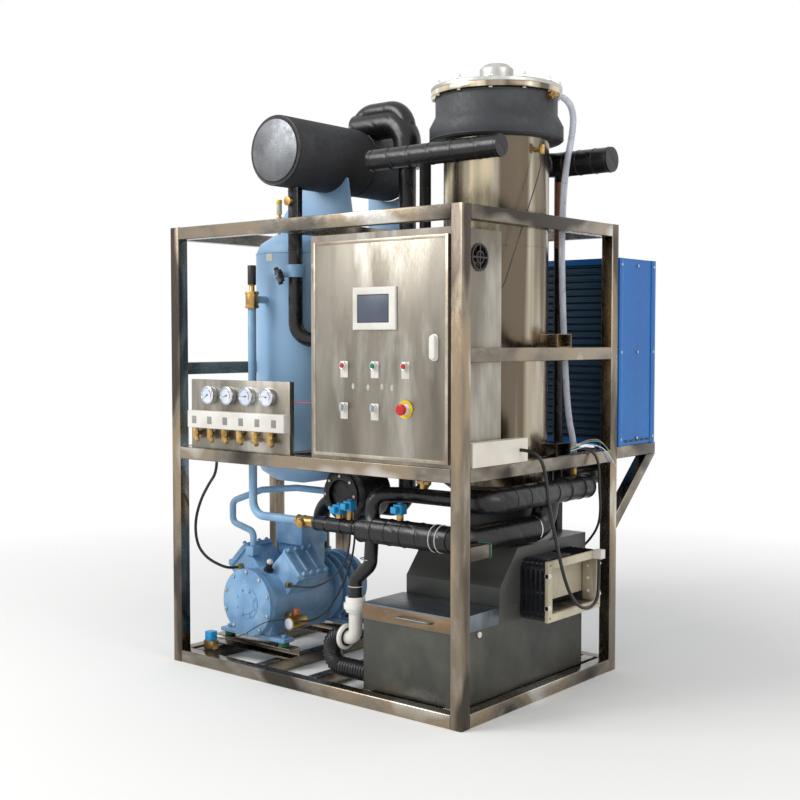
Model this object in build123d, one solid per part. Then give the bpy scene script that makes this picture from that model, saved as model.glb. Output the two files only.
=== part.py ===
from build123d import *
import os
from math import cos, hypot, pi, radians, sin, tan

# A tube ice machine in an open frame of square stainless tube, in millimetres.
# Places are measured from the frame's front left bottom corner: X runs right along the front,
# Y to the back, Z up. save() moves everything so that the origin is the centre of the frame's
# footprint on the floor.

# Clearances
SEAT = 0.3      # between two pieces that are seated on each other
RUN = 0.5       # between a turning or sliding piece and its bearing

# Frame
FRAME_W = 1500
FRAME_D = 1050
FRAME_H = 1800
TUBE = 50
TUBE_WALL = 2
TUBE_EASE = 2.5
DECK_Z = 850                 # underside of the middle rails
DECK_TOP = DECK_Z + TUBE
LEFT_CROSS_Z = 1197
RIGHT_CROSS_Z = 1262
MID_POST_Y = 585
STUB_Z = 578
STUB_LENGTH = 126
FLOOR_RAILS_X = (100, 465, 750, 1025, 1405)
DECK_RAILS_X = (145, 595, 925)
TOP_RAIL_X = 625
BRACKET_REACH = 321
BRACKET_Z = 860
STRUT_FOOT_Z = 585

# Evaporator
EVAP_X = 1215
EVAP_Y = 600
SHELL_R = 203
SHELL_WALL = 4
SHELL_Z = 790
TOP_SHEET_Z = FRAME_H + 260
FLANGE_Z = TOP_SHEET_Z + 208
FLANGE_T = 20
FLANGE_R = 252
NECK_R = 235
COLLAR_R = 258
COLLAR_Z = TOP_SHEET_Z + 35
COLLAR_TOP = COLLAR_Z + 55
NECK_Z = COLLAR_TOP + 45
LID_T = 15
DOME_R = 65
DOME_TOP = FLANGE_Z + 130
LID_BOLTS = 12
BOLT_HEAD = 8
BOLT_FLATS_R = 11
ICE_TUBE_R = 22.5
ICE_TUBE_WALL = 2
ICE_TUBE_PITCH = 76
TUBE_SHEET_T = 16
ARM_Y = 650
ARM_W = 100

# Cutter and ice outlet
HOUSING_X0 = 1010
HOUSING_X1 = 1445
HOUSING_Y1 = 900
HOUSING_TOP = 575
HOUSING_WALL = 3
HOPPER_BORE = 125
HOPPER_WALL = 25
CUTTER_R = 150
CUTTER_Z = 520
DUCT_Y0 = 439
DUCT_Y1 = 809
DUCT_Z0 = 307
DUCT_Z1 = 531
DUCT_WALL = 16
DUCT_END = 1552
OUTLET_T = 14
OUTLET_EDGE = 28
FLAP_T = 3
FLAP_X = 1500
FLAP_GAP = 2                 # at each side as the flap swings through the outlet's frame

# Water tank
TANK_X0 = 1003
TANK_GAP = 8                 # between the tank and the frame's tube
TANK_X1 = FRAME_W - TUBE - TANK_GAP
TANK_Y0 = 61
TANK_Y1 = 880
TANK_WALL = 2
HINGE_Y = 300
LID_Z = 372
LID_SHEET = 2
LID_SKIRT = 60
LID_GAP = 1.2

# Control cabinet
CAB_X0 = 783
CAB_X1 = FRAME_W - TUBE
CAB_Y0 = 18
CAB_Y1 = 300
CAB_Z0 = DECK_TOP
CAB_Z1 = 1725
CAB_SHEET = 2
CAB_LIP = 26
DOOR_X0 = 805
DOOR_X1 = CAB_X1 - 13
DOOR_Z0 = 912
DOOR_Z1 = 1700
DOOR_FACE = 4
DOOR_SHEET = 2
HINGE_R = 5
HINGE_PIN_R = 2.5
HINGE_X = 798.5
HINGES_Z = (1040, 1560)
SCREEN_X = (1009, 1211)
SCREEN_Z = (1375, 1528)
BUTTONS_X = (962, 1109, 1251)
BUTTON_Z = 1247
SELECTOR_Z = 1096
COLLAR_BORE = 9
COLLAR_RIM = 14
COLLAR_DEEP = 12
LATCH_X = DOOR_X1 - 57.5
LATCH_Z = (1267, 1360)
CAB_FAN_Y = 165
CAB_FAN_Z = 1627
CAB_FAN_R = 40

# Gauge panel
PANEL_X0 = 114
PANEL_X1 = 676
PANEL_Y = 10
PANEL_Z1 = 1180
GAUGES_X = (234, 346, 455, 569)
GAUGE_Z = 1119
GAUGE_R = 37
STRIP_Z0 = 985
STRIP_Z1 = 1055
VALVES = 6

# Receiver, separator and their saddles
RECEIVER_X = 370
RECEIVER_Y = 400
RECEIVER_R = 193
RECEIVER_Z0 = 835
RECEIVER_Z1 = 1696
RECEIVER_HEAD = 98
VESSEL_X = 509
VESSEL_Z = FRAME_H + 281
VESSEL_R = 138
VESSEL_Y0 = 105
VESSEL_Y1 = 850
SADDLES_Y = (400, 800)
SADDLE_T = 8
OIL_X = 640
OIL_Z = 713
OIL_R = 112

# Compressor
COMP_X = 285
COMP_Z = 256
COMP_Y0 = 148
COVER_R = 140
COVER_T = 15
CRANK_R = 134
CRANK_Y1 = 520
MOTOR_R = 128
MOTOR_Y1 = 780
FIN_R = 150
FINS = 4
BANK_TOP = 218
BANK_W = 140
HEAD_W = 156
HEAD_T = 22
HEAD_Y = (243, 417)
FEET_Y = (205, 620)
FEET_X = (COMP_X - 160, COMP_X + 160)
BEARER_H = 40
BEARER_W = 60
BEARER_WALL = 4
PAD_T = 18
PAD_R = 22

# Condenser
COND_Y0 = 1055
COND_Y1 = 1357
COND_Z0 = BRACKET_Z + TUBE + SEAT
COND_Z1 = 1670
COND_SHEET = 2
COIL_Y = (1064, 1130)
COIL_ROWS = 26
FANS_X = (375, 1125)
FAN_Z = 1290
FAN_RING_R = 300
FAN_R = 285
FAN_BLADES = 5

# Pipes
LIQUID_X = 347
LIQUID_Y = 130
LIQUID_R = 17
LINE_Z = 630
LINE_R = 28.5
WRAP_R = 48.5
WRAP_X = 935
LINE_TURN_X = 1392
DOWN_Y = 215
ROTALOCK_Z = (1467, 1535)
STEM = (-0.42, -0.78, -0.3)
BIG_R = 45
BIG_X = 1465
BIG_Y = 205
BIG_Z = 764
BIG_END_Y = 872
TEE_X = 988
FRONT_PIPE_R = 41
FRONT_PIPE_Y = 345
FRONT_PIPE_Z = TOP_SHEET_Z - 20
REAR_PIPE_R = 48
REAR_PIPE_Y = 850
REAR_PIPE_Z = TOP_SHEET_Z - 30
BOW_R = 36
BOW_X = (500, 773)
BOW_Z = VESSEL_Z + 206
COILS_X = (820, 875, 1122)
COIL_SIDE = 40

# Cords
HOSE_D = 25
CABLE_D = 13
HOSE_END = (1436, 826, 838)
BARE_CABLE_D = 10
WIRES_D = 6
SIDE_CABLE_D = 12
SWITCH_CABLE_D = 8

ORIGIN = Pos(-FRAME_W / 2, -FRAME_D / 2, 0)


# Helpers

def block(x, y, z):
    """A block between two corners, each side given as a low and a high value."""
    return Pos(sum(x) / 2, sum(y) / 2, sum(z) / 2) * Box(x[1] - x[0], y[1] - y[0], z[1] - z[0])


def hex_bar(start, end, radius):
    """A hexagonal bar from one point to another."""
    run = Vector(*end) - Vector(*start)
    return extrude(Plane(origin=start, z_dir=run) * RegularPolygon(radius, 6), run.length)


def rod(start, end, radius, bore=0):
    """A round bar, or a sleeve where a bore is given, from one point to another."""
    run = Vector(*end) - Vector(*start)
    section = Circle(radius)
    if bore:
        section = section - Circle(bore)
    return extrude(Plane(origin=start, z_dir=run) * section, run.length)


def square_tube(start, end, width=TUBE, depth=TUBE, capped=False):
    """A hollow square tube with eased corners, its far end open or closed by its own wall."""
    run = Vector(*end) - Vector(*start)
    across = (0, 1, 0) if abs(run.X) > abs(run.Y) + abs(run.Z) else (1, 0, 0)
    plane = Plane(origin=start, z_dir=run, x_dir=across)
    outline = Rectangle(width, depth)
    outline = chamfer(outline.vertices(), TUBE_EASE)
    hollow = Rectangle(width - 2 * TUBE_WALL, depth - 2 * TUBE_WALL)
    inner = run.length - (TUBE_WALL if capped else 0)
    return extrude(plane * outline, run.length) - extrude(plane * hollow, inner)


def turned(profile, x, y):
    """A body turned about a vertical axis, from a profile of radius and height."""
    face = make_face(Polyline(*[(r, 0, z) for r, z in profile], close=True))
    return Pos(x, y, 0) * revolve(face, Axis.Z)


def turned_along_y(profile, x, z):
    """A body turned about an axis that runs to the back, from a profile of radius and depth."""
    face = make_face(Polyline(*[(r, y, 0) for r, y in profile], close=True))
    return Pos(x, 0, z) * revolve(face, Axis.Y)


def open_box(x, y, z, wall, open_side):
    """A sheet metal box that is open on one side, named by its axis and end."""
    inner = [[low + wall, high - wall] for low, high in (x, y, z)]
    axis, end = open_side
    inner[axis][end] += wall if end else -wall
    return block(x, y, z) - block(*inner)


def pipe(points, radius, bend, bore=0):
    """A pipe along straight runs joined by bends of one centre line radius."""
    path = FilletPolyline(*points, radius=bend)
    section = Circle(radius)
    if bore:
        section = section - Circle(bore)
    return sweep((path ^ 0) * section, path=path)


def cord(name, points, diameter):
    """A cord along runs and tangent arcs, each arc as large as its two runs allow."""
    knots = [Vector(*p) for p in points]
    radii = []
    for before, at, after in zip(knots, knots[1:], knots[2:]):
        turn = (at - before).get_angle(after - at)
        shorter = min((at - before).length, (after - at).length)
        radii.append(0.45 * shorter / tan(radians(turn / 2)))
    path = FilletPolyline(*points, radius=radii)
    solid = sweep((path ^ 0) * Circle(diameter / 2), path=path)
    ratio = solid.volume / (pi * diameter ** 2 / 4 * path.length)
    print(name, "length", round(path.length), "volume ratio", round(ratio, 4),
          "radii in diameters", [round(r / diameter, 1) for r in radii])
    return solid


def save(name, *shapes):
    """Write one node: its solids, moved to the part's own origin."""
    solids = [solid for shape in shapes for solid in shape.solids()]
    export_step(Compound(children=[ORIGIN * solid for solid in solids]), f"parts/{name}.step")


# Frame

def posts():
    corners = [(TUBE / 2, TUBE / 2), (FRAME_W - TUBE / 2, TUBE / 2),
               (FRAME_W - TUBE / 2, FRAME_D - TUBE / 2), (TUBE / 2, FRAME_D - TUBE / 2)]
    uprights = [square_tube((x, y, 0), (x, y, FRAME_H), capped=True) for x, y in corners]
    middle = square_tube((TUBE / 2, MID_POST_Y, TUBE), (TUBE / 2, MID_POST_Y, DECK_Z))
    return uprights + [middle]


def rail_ring(z):
    """Four rails between the corner posts, with their undersides at one height."""
    middle = z + TUBE / 2
    rails = [square_tube((TUBE, y, middle), (FRAME_W - TUBE, y, middle))
             for y in (TUBE / 2, FRAME_D - TUBE / 2)]
    return rails + [side_rail(x, z) for x in (TUBE / 2, FRAME_W - TUBE / 2)]


def side_rail(x, z):
    """One rail from the front rail to the back rail."""
    return square_tube((x, TUBE, z + TUBE / 2), (x, FRAME_D - TUBE, z + TUBE / 2))


def top_rails():
    return rail_ring(FRAME_H - TUBE) + [side_rail(TOP_RAIL_X, FRAME_H - TUBE)]


def mid_rails():
    return rail_ring(DECK_Z) + [side_rail(x, DECK_Z) for x in DECK_RAILS_X]


def evaporator_arm(side, z):
    """A short tube that is welded to the evaporator's shell and rests on a rail."""
    tip = EVAP_X + side * 282 if side > 0 else DECK_RAILS_X[2] - TUBE / 2
    arm = square_tube((EVAP_X, ARM_Y, z + TUBE / 2), (tip, ARM_Y, z + TUBE / 2), ARM_W, TUBE)
    return arm - Pos(EVAP_X, EVAP_Y, z) * Cylinder(SHELL_R + SEAT, 4 * TUBE)


def side_rails():
    stub_x = FRAME_W - TUBE / 2
    stub_z = STUB_Z + TUBE / 2
    stub = square_tube((stub_x, TUBE, stub_z), (stub_x, TUBE + STUB_LENGTH, stub_z), capped=True)
    arms = [evaporator_arm(1, RIGHT_CROSS_Z + TUBE), evaporator_arm(1, DECK_TOP),
            evaporator_arm(-1, DECK_TOP)]
    crosses = [side_rail(TUBE / 2, LEFT_CROSS_Z), side_rail(FRAME_W - TUBE / 2, RIGHT_CROSS_Z)]
    return crosses + [stub] + arms


def bearer(y):
    """A channel that carries two compressor feet, open to the front."""
    x = (60, 505)
    z = (TUBE, TUBE + BEARER_H)
    solid = block(x, (y - BEARER_W / 2, y + BEARER_W / 2), z)
    hollow = block(x, (y - BEARER_W / 2, y + BEARER_W / 2 - BEARER_WALL),
                   (z[0] + BEARER_WALL, z[1] - BEARER_WALL))
    return solid - hollow


def base_rails():
    return rail_ring(0) + [side_rail(x, 0) for x in FLOOR_RAILS_X] + [bearer(y) for y in FEET_Y]


def strut(x):
    """A sloping tube from the rear post out to the bracket rail, trimmed to both."""
    foot = (x, FRAME_D - TUBE, STRUT_FOOT_Z - 20)
    head = (x, FRAME_D + BRACKET_REACH + TUBE / 2, BRACKET_Z + TUBE)
    room = block((x - TUBE, x + TUBE), (FRAME_D, FRAME_D + BRACKET_REACH), (0, BRACKET_Z))
    return square_tube(foot, head) & room


def condenser_bracket():
    parts = []
    for x in (TUBE / 2, FRAME_W - TUBE / 2):
        z = BRACKET_Z + TUBE / 2
        parts.append(square_tube((x, FRAME_D, z), (x, FRAME_D + BRACKET_REACH, z), capped=True))
        parts.append(strut(x))
    return parts


# Evaporator and cutter

def evaporator_shell():
    inner = SHELL_R - SHELL_WALL
    flange_top = FLANGE_Z + FLANGE_T
    return turned([(inner, SHELL_Z), (SHELL_R, SHELL_Z), (SHELL_R, FLANGE_Z), (FLANGE_R, FLANGE_Z),
                   (FLANGE_R, flange_top), (inner, flange_top)], EVAP_X, EVAP_Y)


def tube_places():
    """Centres of the ice tubes that fit the shell: the middle one and up to two rings."""
    places = [(0, 0)]
    for ring in (1, 2):
        for side in range(6):
            start = radians(60 * side)
            step = radians(60 * side + 120)
            for i in range(ring):
                x = ICE_TUBE_PITCH * (ring * cos(start) + i * cos(step))
                y = ICE_TUBE_PITCH * (ring * sin(start) + i * sin(step))
                if hypot(x, y) + ICE_TUBE_R < SHELL_R - SHELL_WALL - SEAT:
                    places.append((x, y))
    return places


def tube_bundle():
    """The freezing tubes, welded into an upper and a lower tube sheet."""
    sheet_r = SHELL_R - SHELL_WALL - SEAT
    plate = Circle(sheet_r)
    tubes = Sketch() + [Pos(x, y) * Circle(ICE_TUBE_R) for x, y in tube_places()]
    bores = Sketch() + [Pos(x, y) * Circle(ICE_TUBE_R - ICE_TUBE_WALL) for x, y in tube_places()]
    low = SHELL_Z + TUBE_SHEET_T
    body = extrude(Pos(0, 0, SHELL_Z) * plate, TUBE_SHEET_T)
    body += extrude(Pos(0, 0, TOP_SHEET_Z) * plate, TUBE_SHEET_T)
    body += extrude(Pos(0, 0, low) * tubes, TOP_SHEET_Z - low)
    body -= extrude(Pos(0, 0, SHELL_Z) * bores, TOP_SHEET_Z + TUBE_SHEET_T - SHELL_Z)
    return Pos(EVAP_X, EVAP_Y, 0) * body


def evaporator_insulation():
    """The black jacket round the neck and the one round the ice hopper."""
    inner = SHELL_R + SEAT
    neck = turned([(inner, COLLAR_Z), (COLLAR_R - 8, COLLAR_Z), (COLLAR_R, COLLAR_Z + 12),
                   (COLLAR_R, COLLAR_TOP), (NECK_R, NECK_Z), (NECK_R, FLANGE_Z - SEAT),
                   (inner, FLANGE_Z - SEAT)], EVAP_X, EVAP_Y)
    top = SHELL_Z - SEAT
    foot = HOUSING_TOP + SEAT
    outer = HOPPER_BORE + HOPPER_WALL
    hopper = turned([(HOPPER_BORE, foot), (outer, foot), (outer, top - 46), (SHELL_R, top - 6),
                     (SHELL_R, top), (SHELL_R - 20, top), (HOPPER_BORE, top - 56)],
                    EVAP_X, EVAP_Y)
    return [neck, hopper]


def evaporator_lid():
    low = FLANGE_Z + FLANGE_T
    top = low + LID_T
    return turned([(0, low), (FLANGE_R, low), (FLANGE_R, top - 3), (FLANGE_R - 3, top),
                   (DOME_R, top), (DOME_R, DOME_TOP - 22), (DOME_R - 20, DOME_TOP - 5),
                   (0, DOME_TOP)], EVAP_X, EVAP_Y)


def hex_head(x, y, z, radius=BOLT_FLATS_R, height=BOLT_HEAD):
    return extrude(Pos(x, y, z) * RegularPolygon(radius, 6), height)


def lid_bolts():
    reach = FLANGE_R - 12
    top = FLANGE_Z + FLANGE_T + LID_T
    angles = [radians(360 * i / LID_BOLTS) for i in range(LID_BOLTS)]
    return [hex_head(EVAP_X + reach * cos(a), EVAP_Y + reach * sin(a), top) for a in angles]


def cover_bolts():
    """Screws round the compressor's end cover."""
    heads = []
    for i in range(10):
        a = radians(36 * i + 18)
        x = COMP_X + (COVER_R - 12) * cos(a)
        z = COMP_Z + (COVER_R - 12) * sin(a)
        plane = Plane(origin=(x, COMP_Y0, z), z_dir=(0, -1, 0))
        heads.append(extrude(plane * RegularPolygon(8, 6), 6))
    return heads


def housing_outline(wall):
    """Side outline of the cutter housing, with its sloping front, drawn in by a wall."""
    low = LID_Z - LID_SHEET + wall
    top = HOUSING_TOP - wall
    front = HINGE_Y + 4 + wall
    back = HOUSING_Y1 - wall
    return [(front, low), (back, low), (back, top), (front + 116, top), (front, top - 135)]


def extrude_x(outline, x0, x1):
    """A prism along X from an outline of Y and Z."""
    face = make_face(Polyline(*[(x0, y, z) for y, z in outline], close=True))
    return extrude(face, x1 - x0, dir=(1, 0, 0))


def cutter_housing():
    """The sheet housing between the evaporator and the tank, open to the hopper and the duct."""
    shell = extrude_x(housing_outline(0), HOUSING_X0, HOUSING_X1)
    shell -= extrude_x(housing_outline(HOUSING_WALL), HOUSING_X0 + HOUSING_WALL,
                       HOUSING_X1 - HOUSING_WALL)
    shell -= Pos(EVAP_X, EVAP_Y, HOUSING_TOP) * Cylinder(HOPPER_BORE, 4 * HOUSING_WALL)
    window = block((HOUSING_X1 - 2 * HOUSING_WALL, HOUSING_X1 + 1),
                   (DUCT_Y0 + DUCT_WALL, DUCT_Y1 - DUCT_WALL),
                   (LID_Z + 2, DUCT_Z1 - DUCT_WALL))
    shell -= window
    shaft_hole = rod((EVAP_X, HOUSING_Y1 - 10, 440), (EVAP_X, HOUSING_Y1 + 10, 440), 34)
    return shell - shaft_hole


def cutter_gearmotor():
    """The cutter's gearbox on the housing floor, with its motor flanged outside the rear wall."""
    floor = LID_Z - LID_SHEET + HOUSING_WALL
    box = block((EVAP_X - 60, EVAP_X + 60), (EVAP_Y - 60, EVAP_Y + 60), (floor, 490))
    tube = rod((EVAP_X, EVAP_Y + 55, 440), (EVAP_X, HOUSING_Y1 + 6, 440), 32)
    flange = rod((EVAP_X, HOUSING_Y1, 440), (EVAP_X, HOUSING_Y1 + 14, 440), 60)
    motor = rod((EVAP_X, HOUSING_Y1 + 10, 440), (EVAP_X, HOUSING_Y1 + 138, 440), 50)
    terminals = block((EVAP_X + 30, EVAP_X + 75), (HOUSING_Y1 + 30, HOUSING_Y1 + 100), (460, 520))
    bore = rod((EVAP_X, EVAP_Y, 440), (EVAP_X, EVAP_Y, 491), 15 + RUN)
    return box + tube + flange + motor + terminals - bore


def cutter_rotor():
    """A hub with four blades that breaks the ice rods as they drop."""
    body = rod((EVAP_X, EVAP_Y, 445), (EVAP_X, EVAP_Y, CUTTER_Z), 15)
    body += rod((EVAP_X, EVAP_Y, 492), (EVAP_X, EVAP_Y, CUTTER_Z + 22), 38)
    for i in range(4):
        blade = Pos(EVAP_X, EVAP_Y, CUTTER_Z) * Rot(0, 0, 90 * i) * Pos(CUTTER_R / 2, 0, 0)
        body += blade * Rot(28, 0, 0) * Box(CUTTER_R, 44, 8)
    return body


def duct_ring(x, inset, bore):
    """The duct's cross section: a rectangle with an opening, at one X."""
    plane = Plane(origin=(x, 0, 0), z_dir=(1, 0, 0), x_dir=(0, 1, 0))
    outer = Rectangle(DUCT_Y1 - DUCT_Y0 - 2 * inset, DUCT_Z1 - DUCT_Z0 - 2 * inset)
    hole = Rectangle(DUCT_Y1 - DUCT_Y0 - 2 * bore, DUCT_Z1 - DUCT_Z0 - 2 * bore)
    centre = Pos((DUCT_Y0 + DUCT_Y1) / 2, (DUCT_Z0 + DUCT_Z1) / 2)
    return plane * centre * (outer - hole)


def ice_duct():
    """The insulated ice chute from the housing's side wall out to the outlet frame."""
    tube = extrude(duct_ring(HOUSING_X1 + SEAT, 8, DUCT_WALL + 8), DUCT_END - HOUSING_X1 - SEAT)
    return tube


def outlet_flange():
    """The outlet's frame, with four holes for what the ice is led into."""
    frame = extrude(duct_ring(DUCT_END, 0, OUTLET_EDGE), OUTLET_T)
    for y in (DUCT_Y0 + 14, DUCT_Y1 - 14):
        for z in (DUCT_Z0 + 14, DUCT_Z1 - 14):
            frame -= rod((DUCT_END - 1, y, z), (DUCT_END + OUTLET_T + 1, y, z), 5)
    return frame


def outlet_flap():
    """A plate that hangs from a pin across the chute and swings out as ice pushes it."""
    pin_z = DUCT_Z1 - DUCT_WALL - 8 - 12
    reach = DUCT_WALL + 8 + SEAT
    side = OUTLET_EDGE + FLAP_GAP
    plate = block((FLAP_X - FLAP_T / 2, FLAP_X + FLAP_T / 2), (DUCT_Y0 + side, DUCT_Y1 - side),
                  (DUCT_Z0 + 60, pin_z))
    return plate + rod((FLAP_X, DUCT_Y0 + reach, pin_z), (FLAP_X, DUCT_Y1 - reach, pin_z), 4)


def outlet_sensor():
    """The small level switch block on the outlet frame's upper corner."""
    x0 = DUCT_END + OUTLET_T
    return block((x0, x0 + 38), (750, 782), (503, 538))


# Water tank and its pipes

def water_tank():
    return open_box((TANK_X0, TANK_X1), (TANK_Y0, TANK_Y1), (TUBE, LID_Z - LID_SHEET - SEAT),
                    TANK_WALL, (2, 1))


def tank_lid():
    """The hinged front part of the tank's top, a folded sheet with a bail handle on its skirt."""
    out = LID_GAP + LID_SHEET
    x = (TANK_X0 - out, TANK_X1 + out)
    y = (TANK_Y0 - out, HINGE_Y)
    lid = open_box(x, y, (LID_Z - LID_SKIRT, LID_Z), LID_SHEET, (2, 0))
    lid -= block((x[0] + LID_SHEET, x[1] - LID_SHEET), (HINGE_Y - 2 * LID_SHEET, HINGE_Y + 1),
                 (LID_Z - LID_SKIRT - 1, LID_Z - LID_SHEET))
    front = y[0]
    grip = [(1175, front + 1, 340), (1180, front - 24, 344), (1326, front - 24, 344),
            (1331, front + 1, 340)]
    return lid + pipe(grip, 4, 8)


def water_pump():
    """The circulation pump beside the tank: volute, motor and foot."""
    y = 560
    z = 160
    volute = rod((930, y, z), (978, y, z), 62)
    motor = rod((790, y, z), (931, y, z), 55)
    foot = block((800, 960), (y - 45, y + 45), (TUBE, z - 40))
    nozzle = rod((954, y, z), (954, y, z + 95), 20)
    inlet = rod((977, y, z), (TANK_X0 - SEAT, y, z), 24)
    return volute + motor + foot + nozzle + inlet


def pvc_pipes():
    """The white union and elbows, and the black ribbed drain elbow beside the tank."""
    union = rod((925, 105, 318), (925, 105, 372), 38) + rod((925, 105, 330), (925, 105, 352), 46)
    loop = pipe([(925, 105, 318), (925, 105, 100), (975, 105, 100)], 27, 36)
    return [union, loop + rod((975, 105, 100), (TANK_X0 - SEAT, 105, 100), 33)]


def drain_elbow():
    """A ribbed rubber elbow at the foot of the tank."""
    bend = pipe([(897.7, 105, 118), (815, 105, 118), (815, 105, 75)], 36, 42)
    ribs = [rod((x, 105, 118), (x + 8, 105, 118), 40) for x in (862, 880)]
    return bend + ribs


# Refrigerant vessels

def receiver_outline(grow):
    """Half section of the receiver, grown by a clearance."""
    r = RECEIVER_R + grow
    low = RECEIVER_Z0 - grow
    high = RECEIVER_Z1 + grow
    return [(0, low - RECEIVER_HEAD), (r * 0.6, low - 78), (r * 0.9, low - 40), (r, low),
            (r, high), (r * 0.9, high + 40), (r * 0.6, high + 78), (0, high + RECEIVER_HEAD)]


def receiver():
    """The upright liquid receiver with domed ends and two lugs on the deck rails."""
    body = turned(receiver_outline(0), RECEIVER_X, RECEIVER_Y)
    for side, rail in ((-1, DECK_RAILS_X[0]), (1, DECK_RAILS_X[1])):
        ends = sorted((rail + side * TUBE / 2, RECEIVER_X + side * (RECEIVER_R - 12)))
        body += block(ends, (RECEIVER_Y - 35, RECEIVER_Y + 35), (DECK_TOP, DECK_TOP + 12))
        body += block(ends, (RECEIVER_Y - 5, RECEIVER_Y + 5), (DECK_TOP, DECK_TOP + 60))
    return body


def separator():
    """The lying separator under its black jacket, with a bare disc on its front end."""
    jacket = turned_along_y([(0, VESSEL_Y0), (VESSEL_R - 6, VESSEL_Y0), (VESSEL_R, VESSEL_Y0 + 8),
                             (VESSEL_R, VESSEL_Y1 - 60), (VESSEL_R * 0.8, VESSEL_Y1 - 22),
                             (0, VESSEL_Y1)], VESSEL_X, VESSEL_Z)
    disc = rod((VESSEL_X, VESSEL_Y0 - 4, VESSEL_Z), (VESSEL_X, VESSEL_Y0, VESSEL_Z), 122)
    return [jacket, disc]


def saddle(y, left, foot):
    """A plate that cradles the separator, with its foot at one height."""
    right = TOP_RAIL_X + TUBE / 2
    cheek = FRAME_H + 50
    crest = VESSEL_Z - 86
    outline = [(left, foot), (right, foot), (right, cheek), (VESSEL_X + 118, crest),
               (VESSEL_X - 118, crest), (left, cheek)]
    face = make_face(Polyline(*[(x, y - SADDLE_T / 2, z) for x, z in outline], close=True))
    return extrude(face, SADDLE_T, dir=(0, 1, 0)) - vessel_space()


def saddles():
    """The front saddle stands on the receiver and a top rail, the rear one on the rail."""
    rail = block((TOP_RAIL_X - TUBE / 2 - SEAT, TOP_RAIL_X + TUBE), (0, FRAME_D),
                 (FRAME_H - TUBE - SEAT, FRAME_H + SEAT))
    front = saddle(SADDLES_Y[0], 250, 1720) - rail
    front -= turned(receiver_outline(2 * SEAT), RECEIVER_X, RECEIVER_Y)
    return [front, saddle(SADDLES_Y[1], 391, FRAME_H + SEAT)]


def oil_separator():
    """A black lying vessel with a bolted steel ring on its front end and an outlet at its back."""
    body = turned_along_y([(0, 345), (OIL_R - 20, 345), (OIL_R, 360), (OIL_R, 520),
                           (OIL_R - 30, 548), (0, 555)], OIL_X, OIL_Z)
    body += rod((OIL_X, 540, 652), (OIL_X, 600 - BOW_R - SEAT, 652), 22)
    ring = rod((OIL_X, 333, OIL_Z), (OIL_X, 345 - SEAT, OIL_Z), OIL_R - 20, 62)
    return [body, ring]


# Compressor

def bank(side):
    """One cylinder bank, leaning 45 degrees to its side."""
    place = Pos(COMP_X, 0, COMP_Z) * Rot(0, 45 * side, 0)
    return place * block((-BANK_W / 2, BANK_W / 2), (HEAD_Y[0] + 8, HEAD_Y[1] - 8), (40, BANK_TOP))


def compressor_body():
    """The crankcase, motor barrel with cooling fins, two banks, feet and terminal pedestal."""
    crank = turned_along_y([(0, COMP_Y0 + COVER_T), (COVER_R, COMP_Y0 + COVER_T),
                            (COVER_R, COMP_Y0 + COVER_T + 14), (CRANK_R, COMP_Y0 + COVER_T + 30),
                            (CRANK_R, CRANK_Y1), (MOTOR_R, CRANK_Y1 + 10), (MOTOR_R, MOTOR_Y1 - 20),
                            (MOTOR_R - 24, MOTOR_Y1), (0, MOTOR_Y1)], COMP_X, COMP_Z)
    body = crank
    sump = [(COMP_X - CRANK_R, COMP_Z), (COMP_X - 96, 124), (COMP_X + 96, 124),
            (COMP_X + CRANK_R, COMP_Z)]
    face = make_face(Polyline(*[(x, 190, z) for x, z in sump], close=True))
    body += extrude(face, CRANK_Y1 - 190, dir=(0, 1, 0))
    for i in range(FINS):
        y = CRANK_Y1 + 40 + 48 * i
        body += rod((COMP_X, y, COMP_Z), (COMP_X, y + 12, COMP_Z), FIN_R)
    for side in (-1, 1):
        body += bank(side)
    pad_top = TUBE + BEARER_H + PAD_T
    for y in FEET_Y:
        body += block((FEET_X[0] - 28, FEET_X[1] + 28), (y - 28, y + 28), (pad_top, pad_top + 16))
        body += block((COMP_X - 90, COMP_X + 90), (y - 8, y + 8), (pad_top, COMP_Z - 80))
    body += block((200, 360), (420, 540), (COMP_Z + 80, 468))
    return body


def head(side):
    """A cylinder head: a flat plate with two raised ribs."""
    place = Pos(COMP_X, 0, COMP_Z) * Rot(0, 45 * side, 0)
    z0 = BANK_TOP
    plate = block((-HEAD_W / 2, HEAD_W / 2), HEAD_Y, (z0, z0 + HEAD_T))
    plate = chamfer(plate.edges().filter_by(Axis.Z), 18)
    for y in (290, 355):
        plate += block((-48, 48), (y, y + 14), (z0 + HEAD_T, z0 + HEAD_T + 8))
    bolts = [block((x - 7, x + 7), (y - 7, y + 7), (z0 + HEAD_T, z0 + HEAD_T + 8))
             for x in (-62, 62) for y in (265, 308, 351, 394)]
    for bolt in bolts:
        plate += bolt
    return place * plate


def compressor_covers():
    """The round end cover, two cylinder heads and the terminal box."""
    cover = turned_along_y([(0, COMP_Y0 - 8), (46, COMP_Y0 - 8), (52, COMP_Y0), (COVER_R, COMP_Y0),
                            (COVER_R, COMP_Y0 + COVER_T - SEAT), (0, COMP_Y0 + COVER_T - SEAT)],
                           COMP_X, COMP_Z)
    box = block((200, 360), (400, 560), (468, 569))
    box = fillet(box.edges().filter_by(Axis.Z), 8)
    return [cover, head(-1), head(1), box]


def compressor_feet():
    low = TUBE + BEARER_H
    return [rod((x, y, low), (x, y, low + PAD_T), PAD_R) for x in FEET_X for y in FEET_Y]


# Pipes

def shell_space():
    """The room the evaporator's shell takes, with the clearance of a seat."""
    return Pos(EVAP_X, EVAP_Y, SHELL_Z) * Cylinder(SHELL_R + SEAT, 4 * FRAME_H)


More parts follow.
